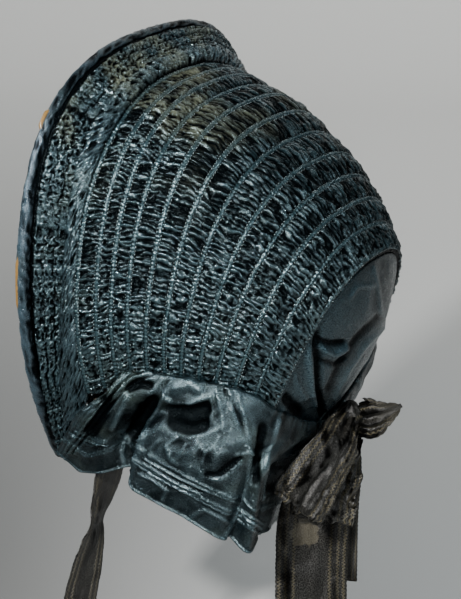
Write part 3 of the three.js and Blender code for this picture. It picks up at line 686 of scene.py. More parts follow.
# The drawn cover, one piece for each band between two canes
cover = {"column": 0.62 * mm, "rows": 15, "puff": 0.1, "round": 0.7, "keep": 0.1 * mm, "pitch": 3.2 * mm,
         "depth": 3.1 * mm, "wander": 1.8 * mm, "crumple": 2.4 * mm, "crumpleSize": 4.6 * mm,
         "edge": 1.5 * mm, "lean": 2.2 * mm, "fullness": 1.5, "cutWidth": 1.1}


def coverBand(row):
    number = row - firstCane
    shares = np.linspace(0, 1, cover["rows"])

    def liftOf(share):
        hump = np.sin(math.pi * share) ** cover["round"]
        return lambda width: hood["wall"] / 2 + cover["puff"] * width * hump

    keepTo = -hood["shelf"] if row == lastCane - 1 else cover["keep"]
    columns = int(hoopLength(row) / cover["column"])
    outerSide = hoodGrid(row, columns, shares, [liftOf(share) for share in shares], cover["keep"], keepTo)
    piece = gatheredStrip(f"cover_band_{number:02d}", row, cover, outerSide, (cover["keep"], keepTo), shares,
                          slackness(outerSide[0]), drawnSilk, float(row))
    return finishPiece(piece, "dark_silk", "drawn_cover")


for row in range(firstCane, lastCane):
    coverBand(row)
print("drawn cover made")

# Casings: a crimped silk tube over each cane, grown along the hoop's line
casing = {"radius": 1.35 * mm, "column": 0.82 * mm, "sides": 8, "pitch": 2.4 * mm, "crimp": 1.4 * mm,
          "standOff": 2.5 * mm, "unevenScale": 80.0, "uneven": 2.4, "roughScale": 450.0, "valley": 0.6}


def casingTree():
    sizes = dict(dict.fromkeys(("radius", "sides", "pitch", "crimp", "seed"), "Float"), sides="Int")
    tree, given = newTree("casing", dict(sizes, material="Material"))
    line = addNode(tree, "GeometryNodeMeshToCurve", {"Mesh": given["Geometry"]}).outputs[0]
    inputs = {"Resolution": given["sides"], "Radius": given["radius"]}
    ring = addNode(tree, "GeometryNodeCurvePrimitiveCircle", inputs).outputs[0]
    inputs = {"Curve": line, "Profile Curve": ring, "Fill Caps": True}
    tube = addNode(tree, "GeometryNodeCurveToMesh", inputs).outputs[0]
    along = readAttribute(tree, "along")
    lone = scaled(tree, joined(tree, along, given["seed"], 0.0), casing["unevenScale"])
    uneven = times(tree, noiseOf(tree, lone, 1.0, 2.0), casing["uneven"])
    ridge = humps(tree, plus(tree, calc(tree, "DIVIDE", along, given["pitch"]), uneven))
    place = addNode(tree, "GeometryNodeInputPosition").outputs[0]
    rough = minus(tree, noiseOf(tree, scaled(tree, place, casing["roughScale"]), 1.0, 2.0), 0.5)
    crimps = times(tree, minus(tree, ridge, casing["valley"]), given["crimp"])
    rise = plus(tree, crimps, times(tree, rough, given["crimp"]))
    normal = addNode(tree, "GeometryNodeInputNormal").outputs[0]
    inputs = {"Geometry": tube, "Offset": scaled(tree, normal, rise)}
    shaped = addNode(tree, "GeometryNodeSetPosition", inputs).outputs[0]
    # painted shade: the crimp valleys get a darker tone and the crests a lighter one
    shaped = storeAttribute(tree, shaped, "ridge", plus(tree, times(tree, ridge, 0.5), 0.35))
    shaped = storeAttribute(tree, shaped, "clothPlace", scaled(tree, place, 1.0), "FLOAT_VECTOR")
    endTree(tree, shaped, given["material"])
    return tree


# Stitches: short threads laid along a path at an even pitch, each turned a little off it
seam = {"pitch": 2.2 * mm, "length": 1.4 * mm, "thick": 0.25 * mm, "aside": 1.5 * mm, "lift": 3.25 * mm,
        "tilt": 0.28, "step": 2 * mm}


def stitchTree():
    sizes = dict.fromkeys(("pitch", "length", "thick"), "Float")
    tree, given = newTree("stitches", dict(sizes, material="Material"))
    line = addNode(tree, "GeometryNodeMeshToCurve", {"Mesh": given["Geometry"]}).outputs[0]
    inputs = {"Curve": line, "Length": given["pitch"]}
    spaced = addNode(tree, "GeometryNodeResampleCurve", inputs, mode="LENGTH").outputs[0]
    bead = addNode(tree, "GeometryNodeMeshUVSphere", {"Segments": 4, "Rings": 3, "Radius": 1.0}).outputs[0]
    size = joined(tree, given["thick"], given["thick"], times(tree, given["length"], 0.5))
    tangent = addNode(tree, "GeometryNodeInputTangent").outputs[0]
    inputs = {"Min": (-seam["tilt"],) * 3, "Max": (seam["tilt"],) * 3, "Seed": 4}
    chance = addNode(tree, "FunctionNodeRandomValue", inputs, data_type="FLOAT_VECTOR")
    aim = vectorCalc(tree, "ADD", tangent, chance.outputs["Value"])
    turned = addNode(tree, "FunctionNodeAlignRotationToVector", {"Vector": aim}, axis="Z").outputs[0]
    inputs = {"Points": spaced, "Instance": bead, "Rotation": turned, "Scale": size}
    laid = addNode(tree, "GeometryNodeInstanceOnPoints", inputs).outputs[0]
    endTree(tree, laid, given["material"])
    return tree


# A path of points as an object of edges; several lines may go into one
def pathPiece(name, lines):
    points, edges, along = [], [], []
    for line in lines:
        first = len(points)
        points += line.tolist()
        edges += [(first + i, first + i + 1) for i in range(len(line) - 1)]
        along += stepsOf(line).cumsum().tolist()
    mesh = bpy.data.meshes.new(name)
    mesh.from_pydata(points, edges, [])
    piece = addObject(name, mesh)
    setValues(piece, "along", along)
    return piece


casings = casingTree()
stitches = stitchTree()


def caneCasing(row):
    columns = int(hoopLength(row) / casing["column"])
    line = hoopLine(row, columns) + hoopNormals(row, columns) * casing["standOff"]
    piece = pathPiece(f"casing_{row - firstCane:02d}", [line[2:-2]])
    sizes = {key: casing[key] for key in ("radius", "sides", "pitch", "crimp")}
    grow(piece, casings, dict(sizes, seed=float(row * 7), material=casingSilk))
    return finishPiece(piece, "dark_silk", f"cane_casing_{row - firstCane:02d}")


for row in range(firstCane, lastCane + 1):
    caneCasing(row)


# A stitched line beside a hoop: aside of it across the hood, and lifted off it
def stitchLine(row, aside, lift):
    columns = int(hoopLength(row) / seam["step"])
    line, out = hoopLine(row, columns), hoopNormals(row, columns)
    back = unit(np.cross(unit(np.gradient(line, axis=0)), out))
    return line + out * lift + back * aside


caneRows = range(firstCane, lastCane + 1)
seamLines = [stitchLine(row, side * seam["aside"], seam["lift"]) for row in caneRows for side in (-1, 1)]
seams = pathPiece("casing_stitches", seamLines)
grow(seams, stitches, dict({key: seam[key] for key in ("pitch", "length", "thick")}, material=thread))
finishPiece(seams, "dark_silk")
print("casings and their stitches made")

# The brim: a finely shirred band in three close rows, the stepped seam, and a band of fuller puffs
brim = {"column": 0.74 * mm, "rows": 35, "closeRows": 3, "flat": 1 / 7, "rise": 0.4 * mm, "round": 0.6,
        "slack": 0.75, "pitch": 2.7 * mm, "depth": 1.7 * mm, "wander": 3 * mm, "crumple": 3.6 * mm,
        "crumpleSize": 3.7 * mm, "edge": 0.55 * mm, "lean": 1.6 * mm, "start": 0.9 * mm, "over": 3 * mm,
        "lap": 2.6 * mm, "stepLength": 14 * mm, "fullness": 1.6, "cutWidth": 1.05}
puff = {"column": 0.72 * mm, "rows": 20, "rise": 2.6 * mm, "round": 0.9, "slack": 0.9, "pitch": 4.6 * mm,
        "depth": 3.2 * mm, "wander": 3 * mm, "crumple": 3.6 * mm, "crumpleSize": 6.5 * mm, "edge": 4.2 * mm,
        "lean": 2.4 * mm, "under": -1.6 * mm, "keep": 0.3 * mm, "fullness": 1.15, "cutWidth": 1.0}


def brimBand():
    columns = int(hoopLength(0) / brim["column"])
    shares = np.linspace(0, 1, brim["rows"])
    inThird = np.clip((shares - brim["flat"]) / (1 - brim["flat"]) * brim["closeRows"], 0, 2.9999)
    inRow = np.where(shares < brim["flat"], 0, inThird % 1)
    lifts = hood["wall"] / 2 + brim["rise"] * np.sin(math.pi * inRow) ** brim["round"]
    lifts = lifts + brim["lap"] * ease(shares, 0.9, 1)
    reach = np.linspace(0, hoopLength(0), columns)
    steps = ease(softNoise(reach / brim["stepLength"], 0 * reach, 12) % 0.34 / 0.34, 0.3, 0.5)
    over = -brim["over"] * (0.35 + steps)[:, None]
    outer, outs, places = hoodGrid(0, columns, shares, lifts, brim["start"], over)
    outerSide = (outer, outs, places / brim["closeRows"])
    piece = gatheredStrip("brim_shirring", 0, brim, outerSide, (brim["start"], 0.2 * mm), inRow,
                          brim["slack"], drawnSilk, 31.0)
    return finishPiece(piece, "dark_silk", "brim_band")


def puffBand():
    columns = int(hoopLength(1) / puff["column"])
    shares = np.linspace(0, 1, puff["rows"])
    lifts = hood["wall"] / 2 + puff["rise"] * np.sin(math.pi * shares) ** puff["round"]
    edges = (puff["under"], puff["keep"])
    outerSide = hoodGrid(1, columns, shares, lifts, *edges)
    piece = gatheredStrip("puff_shirring", 1, puff, outerSide, edges, shares,
                          puff["slack"], puffSilk, 57.0)
    return finishPiece(piece, "dark_silk", "puff_band")


brimBand()
puffBand()

# The binding: a smooth silk channel round the edge, and the cane that shows where it is worn through
binding = {"radius": 3.9 * mm, "topRadius": 2.8 * mm, "wall": 1.2 * mm, "flap": 144, "column": 1.1 * mm,
           "steps": 10, "ripple": 0.8 * mm, "broad": 9 * mm, "narrow": 3.2 * mm}
edgeCane = {"radius": 1.3 * mm, "sides": 10, "forwards": 1.1 * mm, "column": 1.5 * mm}
bareSpots = [{"pixel": (16, 285), "length": 40 * mm, "out": 2.7 * mm},
             {"pixel": (43, 119), "length": 13 * mm, "out": 2.5 * mm}]


def edgeAxes(columns):
    line, out = hoopLine(0, columns), hoopNormals(0, columns)
    return line, out, unit(np.cross(unit(np.gradient(line, axis=0)), out))


def edgeBinding():
    columns = int(hoopLength(0) / binding["column"])
    line, out, back = edgeAxes(columns)
    angles = np.radians(np.linspace(-binding["flap"], binding["flap"], binding["steps"] * 2 + 1))
    along = np.linspace(0, 1, columns) * hoopLength(0)
    radius = mix(binding["radius"], binding["topRadius"], ease(line[:, 2], -0.08, 0.0))
    outer, inner, shadeLevel = [], [], []
    for angle in angles:
        ripple = sharpNoise(along / binding["broad"] + 0.5 * angle, angle * 1.2 + 0 * along, 3)
        fine = sharpNoise(along / binding["narrow"] + 1.5 * angle, angle * 1.6 + 0 * along, 5)
        ripple += 0.7 * fine
        spoke = out * math.sin(angle) - back * math.cos(angle)
        outer.append(line + spoke * (radius + binding["ripple"] * ripple)[:, None])
        inner.append(line + spoke * (radius - binding["wall"])[:, None])
        # painted light and shade: the tone is lighter on the ripples' crests and, lower down on the brim, on
        # the side that faces forwards
        shadeLevel.append(0.22 + 0.55 * ripple + 0.42 * math.cos(angle) * ease(-line[:, 2], -0.02, 0.08))
    points = np.concatenate([outer, inner[::-1]])
    piece = meshPiece("edge_binding", points, ringFaces(len(points), columns))
    around = bothSides(angles) * binding["radius"]
    setValues(piece, "clothPlace", flatPlaces(along[None], around[:, None]), "FLOAT_VECTOR")
    setValues(piece, "ridge", bothSides(np.clip(shadeLevel, 0, 1)))
    paint(piece, bindingSilk)
    return finishPiece(piece, "dark_silk", "brim_binding")


def brimEdgeCane():
    columns = int(hoopLength(0) / edgeCane["column"])
    line, out, back = edgeAxes(columns)
    pixels = toPhoto(line)
    forwards = np.full(columns, edgeCane["forwards"])
    reach = np.linspace(0, 1, columns) * hoopLength(0)
    for spot in bareSpots:
        middle = reach[np.linalg.norm(pixels - spot["pixel"], axis=1).argmin()]
        away = np.abs(reach - middle)
        forwards += spot["out"] * (1 - ease(away, spot["length"] * 0.3, spot["length"] * 0.6))
    centre = line - back * forwards[:, None]
    rings = []
    for i in range(edgeCane["sides"]):
        angle = 2 * math.pi * i / edgeCane["sides"]
        rings.append(centre + (out * math.sin(angle) + back * math.cos(angle)) * edgeCane["radius"])
    piece = meshPiece("edge_cane", rings, ringFaces(len(rings), columns))
    paint(piece, straw)
    return finishPiece(piece, "straw_cane", "brim_cane")


edgeBinding()
brimEdgeCane()
print("brim made")

# The crown tip: a smooth panel with its folds, drawn in rings from its rim to its middle
tip = {"bulge": 14.5 * mm, "rings": 62, "arch": 230, "nape": 72, "crumple": 0.5 * mm, "wall": 1.4 * mm,
       "napePlace": (0, 54 * mm, -201 * mm), "cut": (142 * mm, 130 * mm), "cutArea": 0.0142}
tipCreases = {"bend": (8 * mm, 19 * mm, 16 * mm, 7), "broad": (1.6, 24 * mm, 30 * mm, 8),
              "small": (0.6, 9 * mm, 12 * mm, 9), "aside": 4}
tipFolds = [
    (6, -3.6, True, [(314, 322), (317, 350), (316, 385), (322, 414)]),
    (6, 2, True, [(306, 345), (309, 375), (314, 404)]),
    (6, 2.6, True, [(319, 348), (332, 354), (346, 348)]),
    (5, -2, True, [(320, 340), (330, 343), (342, 342)]),
    (4, -1.6, True, [(320, 360), (334, 364), (344, 358)]),
    (4, 1.7, False, [(386, 322), (366, 342), (348, 368), (332, 398)]),
    (6, -1.6, True, [(378, 316), (356, 338), (340, 362), (328, 388)]),
    (9, -3, True, [(283, 396), (291, 404), (297, 411)]),
    (3.5, 1.2, False, [(292, 366), (296, 384), (304, 398)]),
    (8, 1.6, True, [(298, 426), (306, 428), (313, 424)]),
    (4, 0.8, True, [(350, 296), (356, 286), (372, 284)]),
    (4, 1, True, [(372, 262), (378, 290), (380, 314)]),
]


def tipArch():
    arch, _, _ = hoodGrid(lastCane - 1, tip["arch"], (1,), (0,), 0, -(hood["shelf"] + hood["gap"]))
    return arch[0]


# The sewn edge below the tip, from the right foot across the nape to the left one
def napeLine(count):
    arch = tipArch()
    return throughKeys([arch[-1], tip["napePlace"], arch[0]], (0, 1, 2), np.linspace(0, 2, count))


def tipRim():
    return np.concatenate([tipArch(), napeLine(tip["nape"])[1:-1]])


def crownTip():
    rim = tipRim()
    hoop = dict(zip(hoopColumns, hoops[lastCane]))
    deep = (hoop["topY"] - hoop["footY"]) * hood["depth"]
    high = (hoop["topZ"] - hoop["footZ"]) * hood["height"]
    lean = math.atan2(deep, high)
    backwards = np.array((0, math.cos(lean), -math.sin(lean)))
    middle = (rim.min(axis=0) + rim.max(axis=0)) / 2
    middle[0] = 0
    shares = np.linspace(1, 0.004, tip["rings"]) ** 0.8
    grid = np.array([mix(middle, rim, s) + backwards * tip["bulge"] * (1 - s ** 2.1) for s in shares])
    creases = bentCreases(grid[..., 0], grid[..., 2], tipCreases)
    rise = tip["crumple"] * creases + foldHeights(toPhoto(grid), tipFolds)
    rise *= ease(1 - shares, 0.0, 0.07)[:, None]
    outer = grid + backwards * (rise + tip["wall"] / 2)[..., None]
    inner = grid + backwards * (rise - tip["wall"] / 2)[..., None]
    count = rim.shape[0]
    points = np.concatenate([outer, inner[::-1]])
    ring, column = np.meshgrid(np.arange(len(points)), np.arange(count), indexing="ij")
    after, right = (ring + 1) % len(points), (column + 1) % count
    faces = np.stack([ring * count + column, after * count + column,
                      after * count + right, ring * count + right], axis=-1)
    wanted = np.ones(len(points), bool)
    wanted[len(outer) - 1] = False      # the middle is closed by a small face on each side instead
    faces = faces[wanted].reshape(-1, 4).tolist()
    faces.append([(len(outer) - 1) * count + c for c in range(count)])
    faces.append([len(outer) * count + c for c in range(count)][::-1])
    piece = meshPiece("crown_tip_panel", points, faces)
    place = np.stack([points[..., 0], points[..., 2], np.zeros(points.shape[:2])], axis=-1)
    setValues(piece, "clothPlace", place, "FLOAT_VECTOR")
    # painted shade: the panel's tone is darker where its folds sink and lighter where they rise
    shadeLevel = np.clip(0.56 + rise / (5 * mm), 0, 1)
    setValues(piece, "ridge", bothSides(shadeLevel))
    paint(piece, smoothSilk)
    return finishPiece(piece, "dark_silk", "crown_tip")


crownTip()
print("crown tip made")

# The neck curtain: a table of folds, then its gathers, puffs, hollows, creases and stitched tucks
curtain = {"length": 110 * mm, "wall": 1.5 * mm, "spring": 4.2 * mm, "puff": 5.5 * mm, "turn": 0.25,
           "hemRise": 0.17, "rightTuck": 0.2, "neckMiddle": 0.48, "napeDepth": 142 * mm,
           "columns": 300, "front": 0.08, "frontColumns": 32, "bodyRows": 52, "hemRows": 58, "bodyEnd": 5.0,
           "softColumns": 7, "gatherPitch": 5.2 * mm, "gatherDepth": 1.6 * mm, "gatherFade": 24 * mm,
           "crumple": 0.8 * mm, "tuckHeight": 1.1 * mm, "tuckWidth": 2.3 * mm,
           "tucks": (16.5 * mm, 19 * mm, 28 * mm), "frontTucks": (2.2 * mm, 5 * mm, 7.8 * mm),
           "hem": 0.7 * mm, "cut": (115 * mm, 430 * mm)}
curtainColumns = ("at", "midX", "midY", "midZ", "hemX", "hemY", "hemZ")
curtainFolds = [
    (0.0, 0.875, 0.215, -0.13, 0.67, 0.05, -0.48),    # the front edge
    (0.06, 0.87, 0.285, -0.2, 0.71, 0.155, -0.56),
    (0.12, 0.84, 0.32, -0.22, 0.78, 0.25, -0.52),
    (0.17, 0.74, 0.335, -0.25, 0.7, 0.33, -0.47),     # the first fold turns in
    (0.21, 0.75, 0.37, -0.27, 0.69, 0.35, -0.5),
    (0.25, 0.83, 0.435, -0.22, 0.81, 0.365, -0.56),   # and the broad second panel starts
    (0.36, 0.85, 0.52, -0.25, 0.81, 0.46, -0.62),
    (0.46, 0.85, 0.6, -0.26, 0.8, 0.54, -0.67),
    (0.55, 0.81, 0.68, -0.27, 0.78, 0.61, -0.74),
    (0.62, 0.73, 0.735, -0.28, 0.76, 0.65, -0.79),
    (0.67, 0.64, 0.735, -0.32, 0.65, 0.645, -0.8),    # the second fold
    (0.72, 0.67, 0.77, -0.38, 0.69, 0.725, -0.89),    # the narrow third panel
    (0.78, 0.57, 0.745, -0.42, 0.52, 0.7, -0.86),
    (0.85, 0.44, 0.7, -0.48, 0.4, 0.645, -0.9),
    (0.91, 0.28, 0.695, -0.55, 0.27, 0.655, -0.92),
    (0.96, 0.13, 0.69, -0.62, 0.13, 0.615, -0.94),
    (1.0, 0.0, 0.695, -0.64, 0.0, 0.605, -0.95),      # the nape
]
curtainCrumple = {"bend": (9 * mm, 21 * mm, 17 * mm, 11), "broad": (1.5, 17 * mm, 15 * mm, 5),
                  "small": (0.8, 7.5 * mm, 8 * mm, 6), "aside": 3}
curtainCreases = [
    (3.4, 2.1, True, [(173, 379), (162, 400), (149, 423), (138, 459), (129, 488)]),
    (12, -3.8, True, [(176, 410), (192, 411), (206, 408)]),
    (12, -3.4, True, [(176, 423), (190, 427), (204, 424)]),
    (3.2, 2.4, False, [(165, 397), (174, 404), (190, 404), (206, 398)]),
    (2.6, 1.6, False, [(211, 396), (212, 412), (209, 430)]),
    (8, 2, True, [(178, 388), (190, 384), (200, 390)]),
    (3, 1.6, True, [(217, 390), (221, 410), (223, 426)]),
    (2.6, 1.8, False, [(229, 393), (233, 413), (249, 451)]),
    (3, -1.4, True, [(225, 391), (238, 414), (246, 442)]),
    (2.6, 1.6, False, [(238, 396), (245, 422), (250, 450)]),
    (3, 1.8, True, [(249, 452), (247, 474), (245, 492), (230, 524), (219, 542)]),
    (2.4, 1.1, False, [(178, 437), (167, 445), (170, 457), (178, 464)]),
    (2.2, 0.9, False, [(186, 444), (180, 455), (172, 462)]),
    (2.6, 1.1, False, [(192, 437), (204, 436), (216, 430)]),
    (2.4, 1, False, [(196, 440), (205, 452), (202, 462)]),
    (2.4, 1, False, [(205, 452), (214, 447), (219, 436)]),
    (4.5, -1.5, True, [(207, 474), (219, 474), (229, 466), (240, 457)]),
    (2.2, 1, False, [(211, 479), (224, 478), (240, 463)]),
    (2.4, 1, False, [(237, 455), (249, 452)]),
    (2.4, 0.9, False, [(160, 440), (152, 448), (151, 458)]),
    (3, 1.1, False, [(140, 474), (153, 479), (167, 490), (163, 499)]),
    (2.6, 0.9, False, [(190, 518), (204, 509), (228, 522)]),
    (7, -2.8, True, [(130, 387), (140, 383), (149, 385)]),
    (11, -4.6, True, [(151, 402), (143, 417), (135, 432)]),
    (4, 1.4, True, [(163, 378), (151, 393), (144, 402)]),
    (4.5, 1.7, True, [(128, 396), (121, 410), (112, 428)]),
    (10, -3.6, True, [(108, 402), (100, 416), (91, 430)]),
    (5, 1.5, True, [(128, 436), (122, 450), (124, 462)]),
    (1.6, 1.5, False, [(76, 430), (92, 437), (106, 441)]),
    (1.6, 1.5, False, [(74, 434), (91, 441), (107, 445)]),
    (1.6, 1.5, False, [(119, 431), (132, 434), (144, 437)]),
    (1.6, 1.5, False, [(118, 435), (131, 438), (143, 441)]),
    (1.5, 1.4, False, [(146, 459), (180, 478), (204, 489), (236, 502)]),
    (1.4, -1.2, False, [(145, 461), (178, 480), (202, 491)]),
    (1.5, 1.3, False, [(145, 463), (176, 482), (200, 493)]),
    (1.5, 1.2, False, [(150, 472), (176, 486), (194, 495)]),
    (1.6, 1.5, False, [(237, 507), (250, 516), (261, 523)]),
    (1.6, 1.5, False, [(237, 512), (249, 520), (260, 528)]),
    (1.6, 1.3, False, [(235, 517), (246, 525), (257, 533)]),
    (1.6, 1.8, False, [(148, 370), (132, 373), (117, 385), (91, 418), (66, 451)]),
    (1.5, -1.4, False, [(149, 372), (133, 375), (119, 387), (93, 419), (68, 451)]),
    (1.6, 1.6, False, [(152, 374), (135, 377), (121, 389), (96, 420), (71, 452)]),
    (1.5, -1.2, False, [(153, 376), (137, 380), (123, 391), (98, 421), (73, 452)]),
    (1.6, 1.3, False, [(155, 378), (139, 382), (125, 393), (100, 423), (76, 453)]),
    (3.4, 1.8, True, [(278, 420), (270, 448), (264, 470), (261, 498)]),
    (6, -2.4, True, [(262, 428), (258, 450), (256, 480)]),
    (2.6, 1.2, False, [(252, 470), (260, 464), (266, 456)]),
]


def sewnEdge():
    feet = [hoopLine(row, 60)[0] for row in range(firstCane + 3, lastCane + 1)]
    back = napeLine(17)[8:-1][::-1]
    keys = np.array(feet + back.tolist())
    reach = np.concatenate([[0], np.linalg.norm(np.diff(keys, axis=0), axis=1).cumsum()])
    return lambda at: throughKeys(keys, reach / reach[-1], [at])[0]


def curtainFold(row, edge, side):
    fold = dict(zip(curtainColumns, row))
    toNeck = curtain["neckMiddle"] * hood["depth"] - hood["seatDepth"]

    def fromNeck(x, y):
        return unit(np.array((max(side * x, 0) * side, y - toNeck, 0)))

    standOff = hood["wall"] / 2 + 2 * hood["gap"] + 2 * hood["casing"] + curtain["wall"] / 2
    sewn = edge(fold["at"]) * (side, 1, 1)
    out = fromNeck(sewn[0], sewn[1])
    wide, deep = side * fold["midX"] * hood["halfWidth"], fold["midY"] * hood["depth"] - hood["seatDepth"]
    tableOut = fromNeck(wide, deep)
    tuck = curtain["rightTuck"] * max(math.sin(2 * math.pi * (fold["at"] - 0.5)), 0) if side < 0 else 0

    def onTable(x, y, z):
        place = np.array((side * x * (1 - tuck) * hood["halfWidth"],
                          mix(y, curtain["neckMiddle"], tuck) * hood["depth"] - hood["seatDepth"],
                          z * curtain["length"] - hood["seatHeight"]))
        return place + tableOut * standOff

    middle = onTable(fold["midX"], fold["midY"], fold["midZ"])
    hem = onTable(fold["hemX"], fold["hemY"], fold["hemZ"])
    under = -(hood["wall"] + curtain["wall"]) / 2 - hood["gap"]
    lift = np.array((0, 0, 1))
    turned = mix(sewn + out * (standOff + 2 * curtain["spring"]), middle, curtain["turn"])
    return [sewn + lift * under, sewn + out * (standOff - curtain["wall"]) + lift * under,
            sewn + out * (standOff + curtain["spring"]) + lift * curtain["puff"], turned, middle,
            mix(middle, hem, 1 - curtain["hemRise"]), hem]


# Between keys in straight lines, with the folds rounded over a few columns
def creased(keys, at, wanted, soft):
    flat = np.asarray(keys, float).reshape(len(keys), -1)
    lines = np.stack([np.interp(wanted, at, flat[:, i]) for i in range(flat.shape[1])], axis=1)
    for _ in range(soft):
        lines[1:-1] = lines[1:-1] * 0.5 + (lines[:-2] + lines[2:]) * 0.25
    return lines.reshape((len(wanted),) + np.shape(keys)[1:])


# Tucks: each rises sharply at its place and falls off over its width
def ridgeAt(distance, places):
    past = [(distance - place) / curtain["tuckWidth"] for place in places]
    return sum(curtain["tuckHeight"] * np.where(t < 0, 0, np.clip(1 - t, 0, 1)) for t in past)


def neckCurtain():
    edge = sewnEdge()
    left = [curtainFold(row, edge, 1) for row in curtainFolds]
    right = [curtainFold(row, edge, -1) for row in curtainFolds[:-1][::-1]]
    at = [row[0] for row in curtainFolds] + [2 - row[0] for row in curtainFolds[:-1][::-1]]
    keys = np.array(left + right)
    front = np.linspace(0, curtain["front"], curtain["frontColumns"], endpoint=False)
    body = np.linspace(curtain["front"], 2 - curtain["front"], curtain["columns"], endpoint=False)
    ats = np.concatenate([front, body, 2 - front[::-1]])
    folded = creased(keys, at, ats, curtain["softColumns"]).transpose(1, 0, 2)
    downKeys = np.array([0, 0.5, 1.4, 2.6, 4.2, 6.4, 7.2])
    body = np.linspace(0, curtain["bodyEnd"], curtain["bodyRows"], endpoint=False)
    down = np.concatenate([body, np.linspace(curtain["bodyEnd"], downKeys[-1], curtain["hemRows"])])
    grid = mix(throughKeys(folded, downKeys, down), creased(folded, downKeys, down, 2), 0.5)
    along, fromTop = stepsOf(grid, 1).cumsum(axis=1), stepsOf(grid).cumsum(axis=0)
    toHem = fromTop[-1:] - fromTop
    sewnAlong = np.broadcast_to(along[3:4], along.shape)
    sway = 0.4 * np.sin(fromTop / (15 * mm))
    pleat = softNoise(sewnAlong / curtain["gatherPitch"] + sway, fromTop / (40 * mm), 2)
    pleats = (1 - np.abs(2 * pleat - 1)) ** 1.3 - 0.5
    fade = np.clip(1 - fromTop / curtain["gatherFade"], 0, 1) * ease(fromTop, 2 * mm, 6 * mm)
    heights = curtain["gatherDepth"] * 2 * pleats * fade
    inBody = ease(fromTop, 6 * mm, 20 * mm)
    flatter = 1 - 0.55 * ease(toHem, 34 * mm, 20 * mm)
    heights += curtain["crumple"] * bentCreases(along, fromTop, curtainCrumple) * inBody * flatter
    tucks = ridgeAt(toHem, curtain["tucks"])
    edges = ridgeAt(along, curtain["frontTucks"])
    edges += ridgeAt(along[:, -1:] - along, curtain["frontTucks"])
    heights += (tucks + edges) * inBody
    heights += curtain["hem"] * (1 - ease(toHem, 0.5 * mm, 2.2 * mm))
    seen = ease(1.02 - ats, 0, 0.05)[None]
    heights += foldHeights(toPhoto(grid), curtainCreases) * seen * ease(fromTop, 1 * mm, 8 * mm)
    piece = sheetWall("neck_curtain", grid, curtain["wall"], heights, curtainSilk, 3.6 * mm)
    return finishPiece(piece, "dark_silk", "bavolet")


neckCurtain()
print("curtain made")

# Ribbons: each follows its route; its edges are scalloped a little and its length is creased
ribbon = {"wall": 1 * mm, "tieDrop": 160 * mm, "tieWidth": 30 * mm, "bowDrop": 160 * mm, "bowWidth": 46 * mm,
          "step": 1.1 * mm, "rows": 44, "crease": 1.7 * mm, "gather": 2.8 * mm, "bowCrush": 3.4 * mm,
          "endCrush": 1.8 * mm, "torn": 1.6 * mm, "scallop": 0.5 * mm, "scallopPitch": 3 * mm}
# Each place of a route: across, back and up in shares of the hood and the drop,
# then the share of the ribbon's width and the angle that it faces
ties = {
    "tie_left": [(0.794, 0.256, 0.015, 0.8, 15), (0.72, 0.232, -0.14, 0.85, 60),
                 (0.655, 0.218, -0.36, 0.85, 75), (0.66, 0.19, -0.51, 0.8, 85),
                 (0.67, 0.165, -0.605, 0.72, 100), (0.675, 0.149, -0.7, 0.7, 80),
                 (0.68, 0.127, -0.81, 0.72, 64), (0.684, 0.1, -0.95, 0.76, 58),
                 (0.684, 0.09, -1, 0.76, 58)],
    "tie_right": [(-0.803, 0.254, 0.015, 0.8, 165), (-0.71, 0.25, -0.14, 0.85, 122),
                  (-0.65, 0.3, -0.35, 0.85, 115), (-0.6, 0.41, -0.55, 0.9, 120),
                  (-0.52, 0.51, -0.78, 0.9, 125), (-0.46, 0.575, -1, 1, 125)],
}
bow = {
    "streamer_long": [(-0.09, 1.125, -0.315, 0.25, 60), (0, 1.101, -0.4, 0.6, 48),
                      (0.055, 1.062, -0.5, 0.85, 39), (0.06, 1.039, -0.62, 1, 38),
                      (0.06, 1.029, -0.8, 1, 38), (0.06, 1.029, -1, 1, 38)],
    "streamer_short": [(-0.165, 1.131, -0.305, 0.25, 60), (-0.15, 1.118, -0.45, 0.4, 40),
                       (-0.12, 1.098, -0.65, 0.5, 32), (-0.1, 1.085, -0.92, 0.6, 30)],
    "bow_loop_left": [(-0.082, 1.16, -0.216, 0.4, 70), (0.14, 1.191, -0.27, 0.7, 50),
                      (0.33, 1.131, -0.41, 0.85, 40), (0.37, 1.085, -0.49, 0.85, 40),
                      (0.34, 1.065, -0.485, 0.8, 40), (0.25, 1.111, -0.37, 0.65, 42),
                      (0.1, 1.138, -0.28, 0.4, 55)],
    "bow_loop_right": [(-0.1225, 1.165, -0.309, 0.28, 65), (0.04, 1.166, -0.395, 0.7, 48),
                       (0.16, 1.145, -0.48, 0.9, 42), (0.165, 1.118, -0.58, 0.9, 40),
                       (0.13, 1.091, -0.57, 0.85, 40), (0.11, 1.105, -0.45, 0.75, 42),
                       (0.08, 1.145, -0.37, 0.5, 45)],
    "bow_end": [(-0.15, 1.155, -0.235, 0.42, 22), (-0.179, 1.195, -0.242, 0.56, 20),
                (-0.2, 1.238, -0.23, 0.5, 15), (-0.216, 1.29, -0.208, 0.28, 12),
                (-0.236, 1.345, -0.178, 0.03, 8)],
}
loopEdges = {"bow_loop_left": (-0.5, 0.5, -0.7), "bow_loop_right": (-0.62, 0.64, -0.45)}
knot = {"place": (-0.145, 1.131, -0.235), "width": 16.5 * mm, "depth": 14.6 * mm, "height": 22 * mm,
        "around": 72, "down": 46, "pole": 0.04, "folds": 7, "foldDepth": 0.1, "dentDepth": 0.16,
        "cloth": 8 * mm}


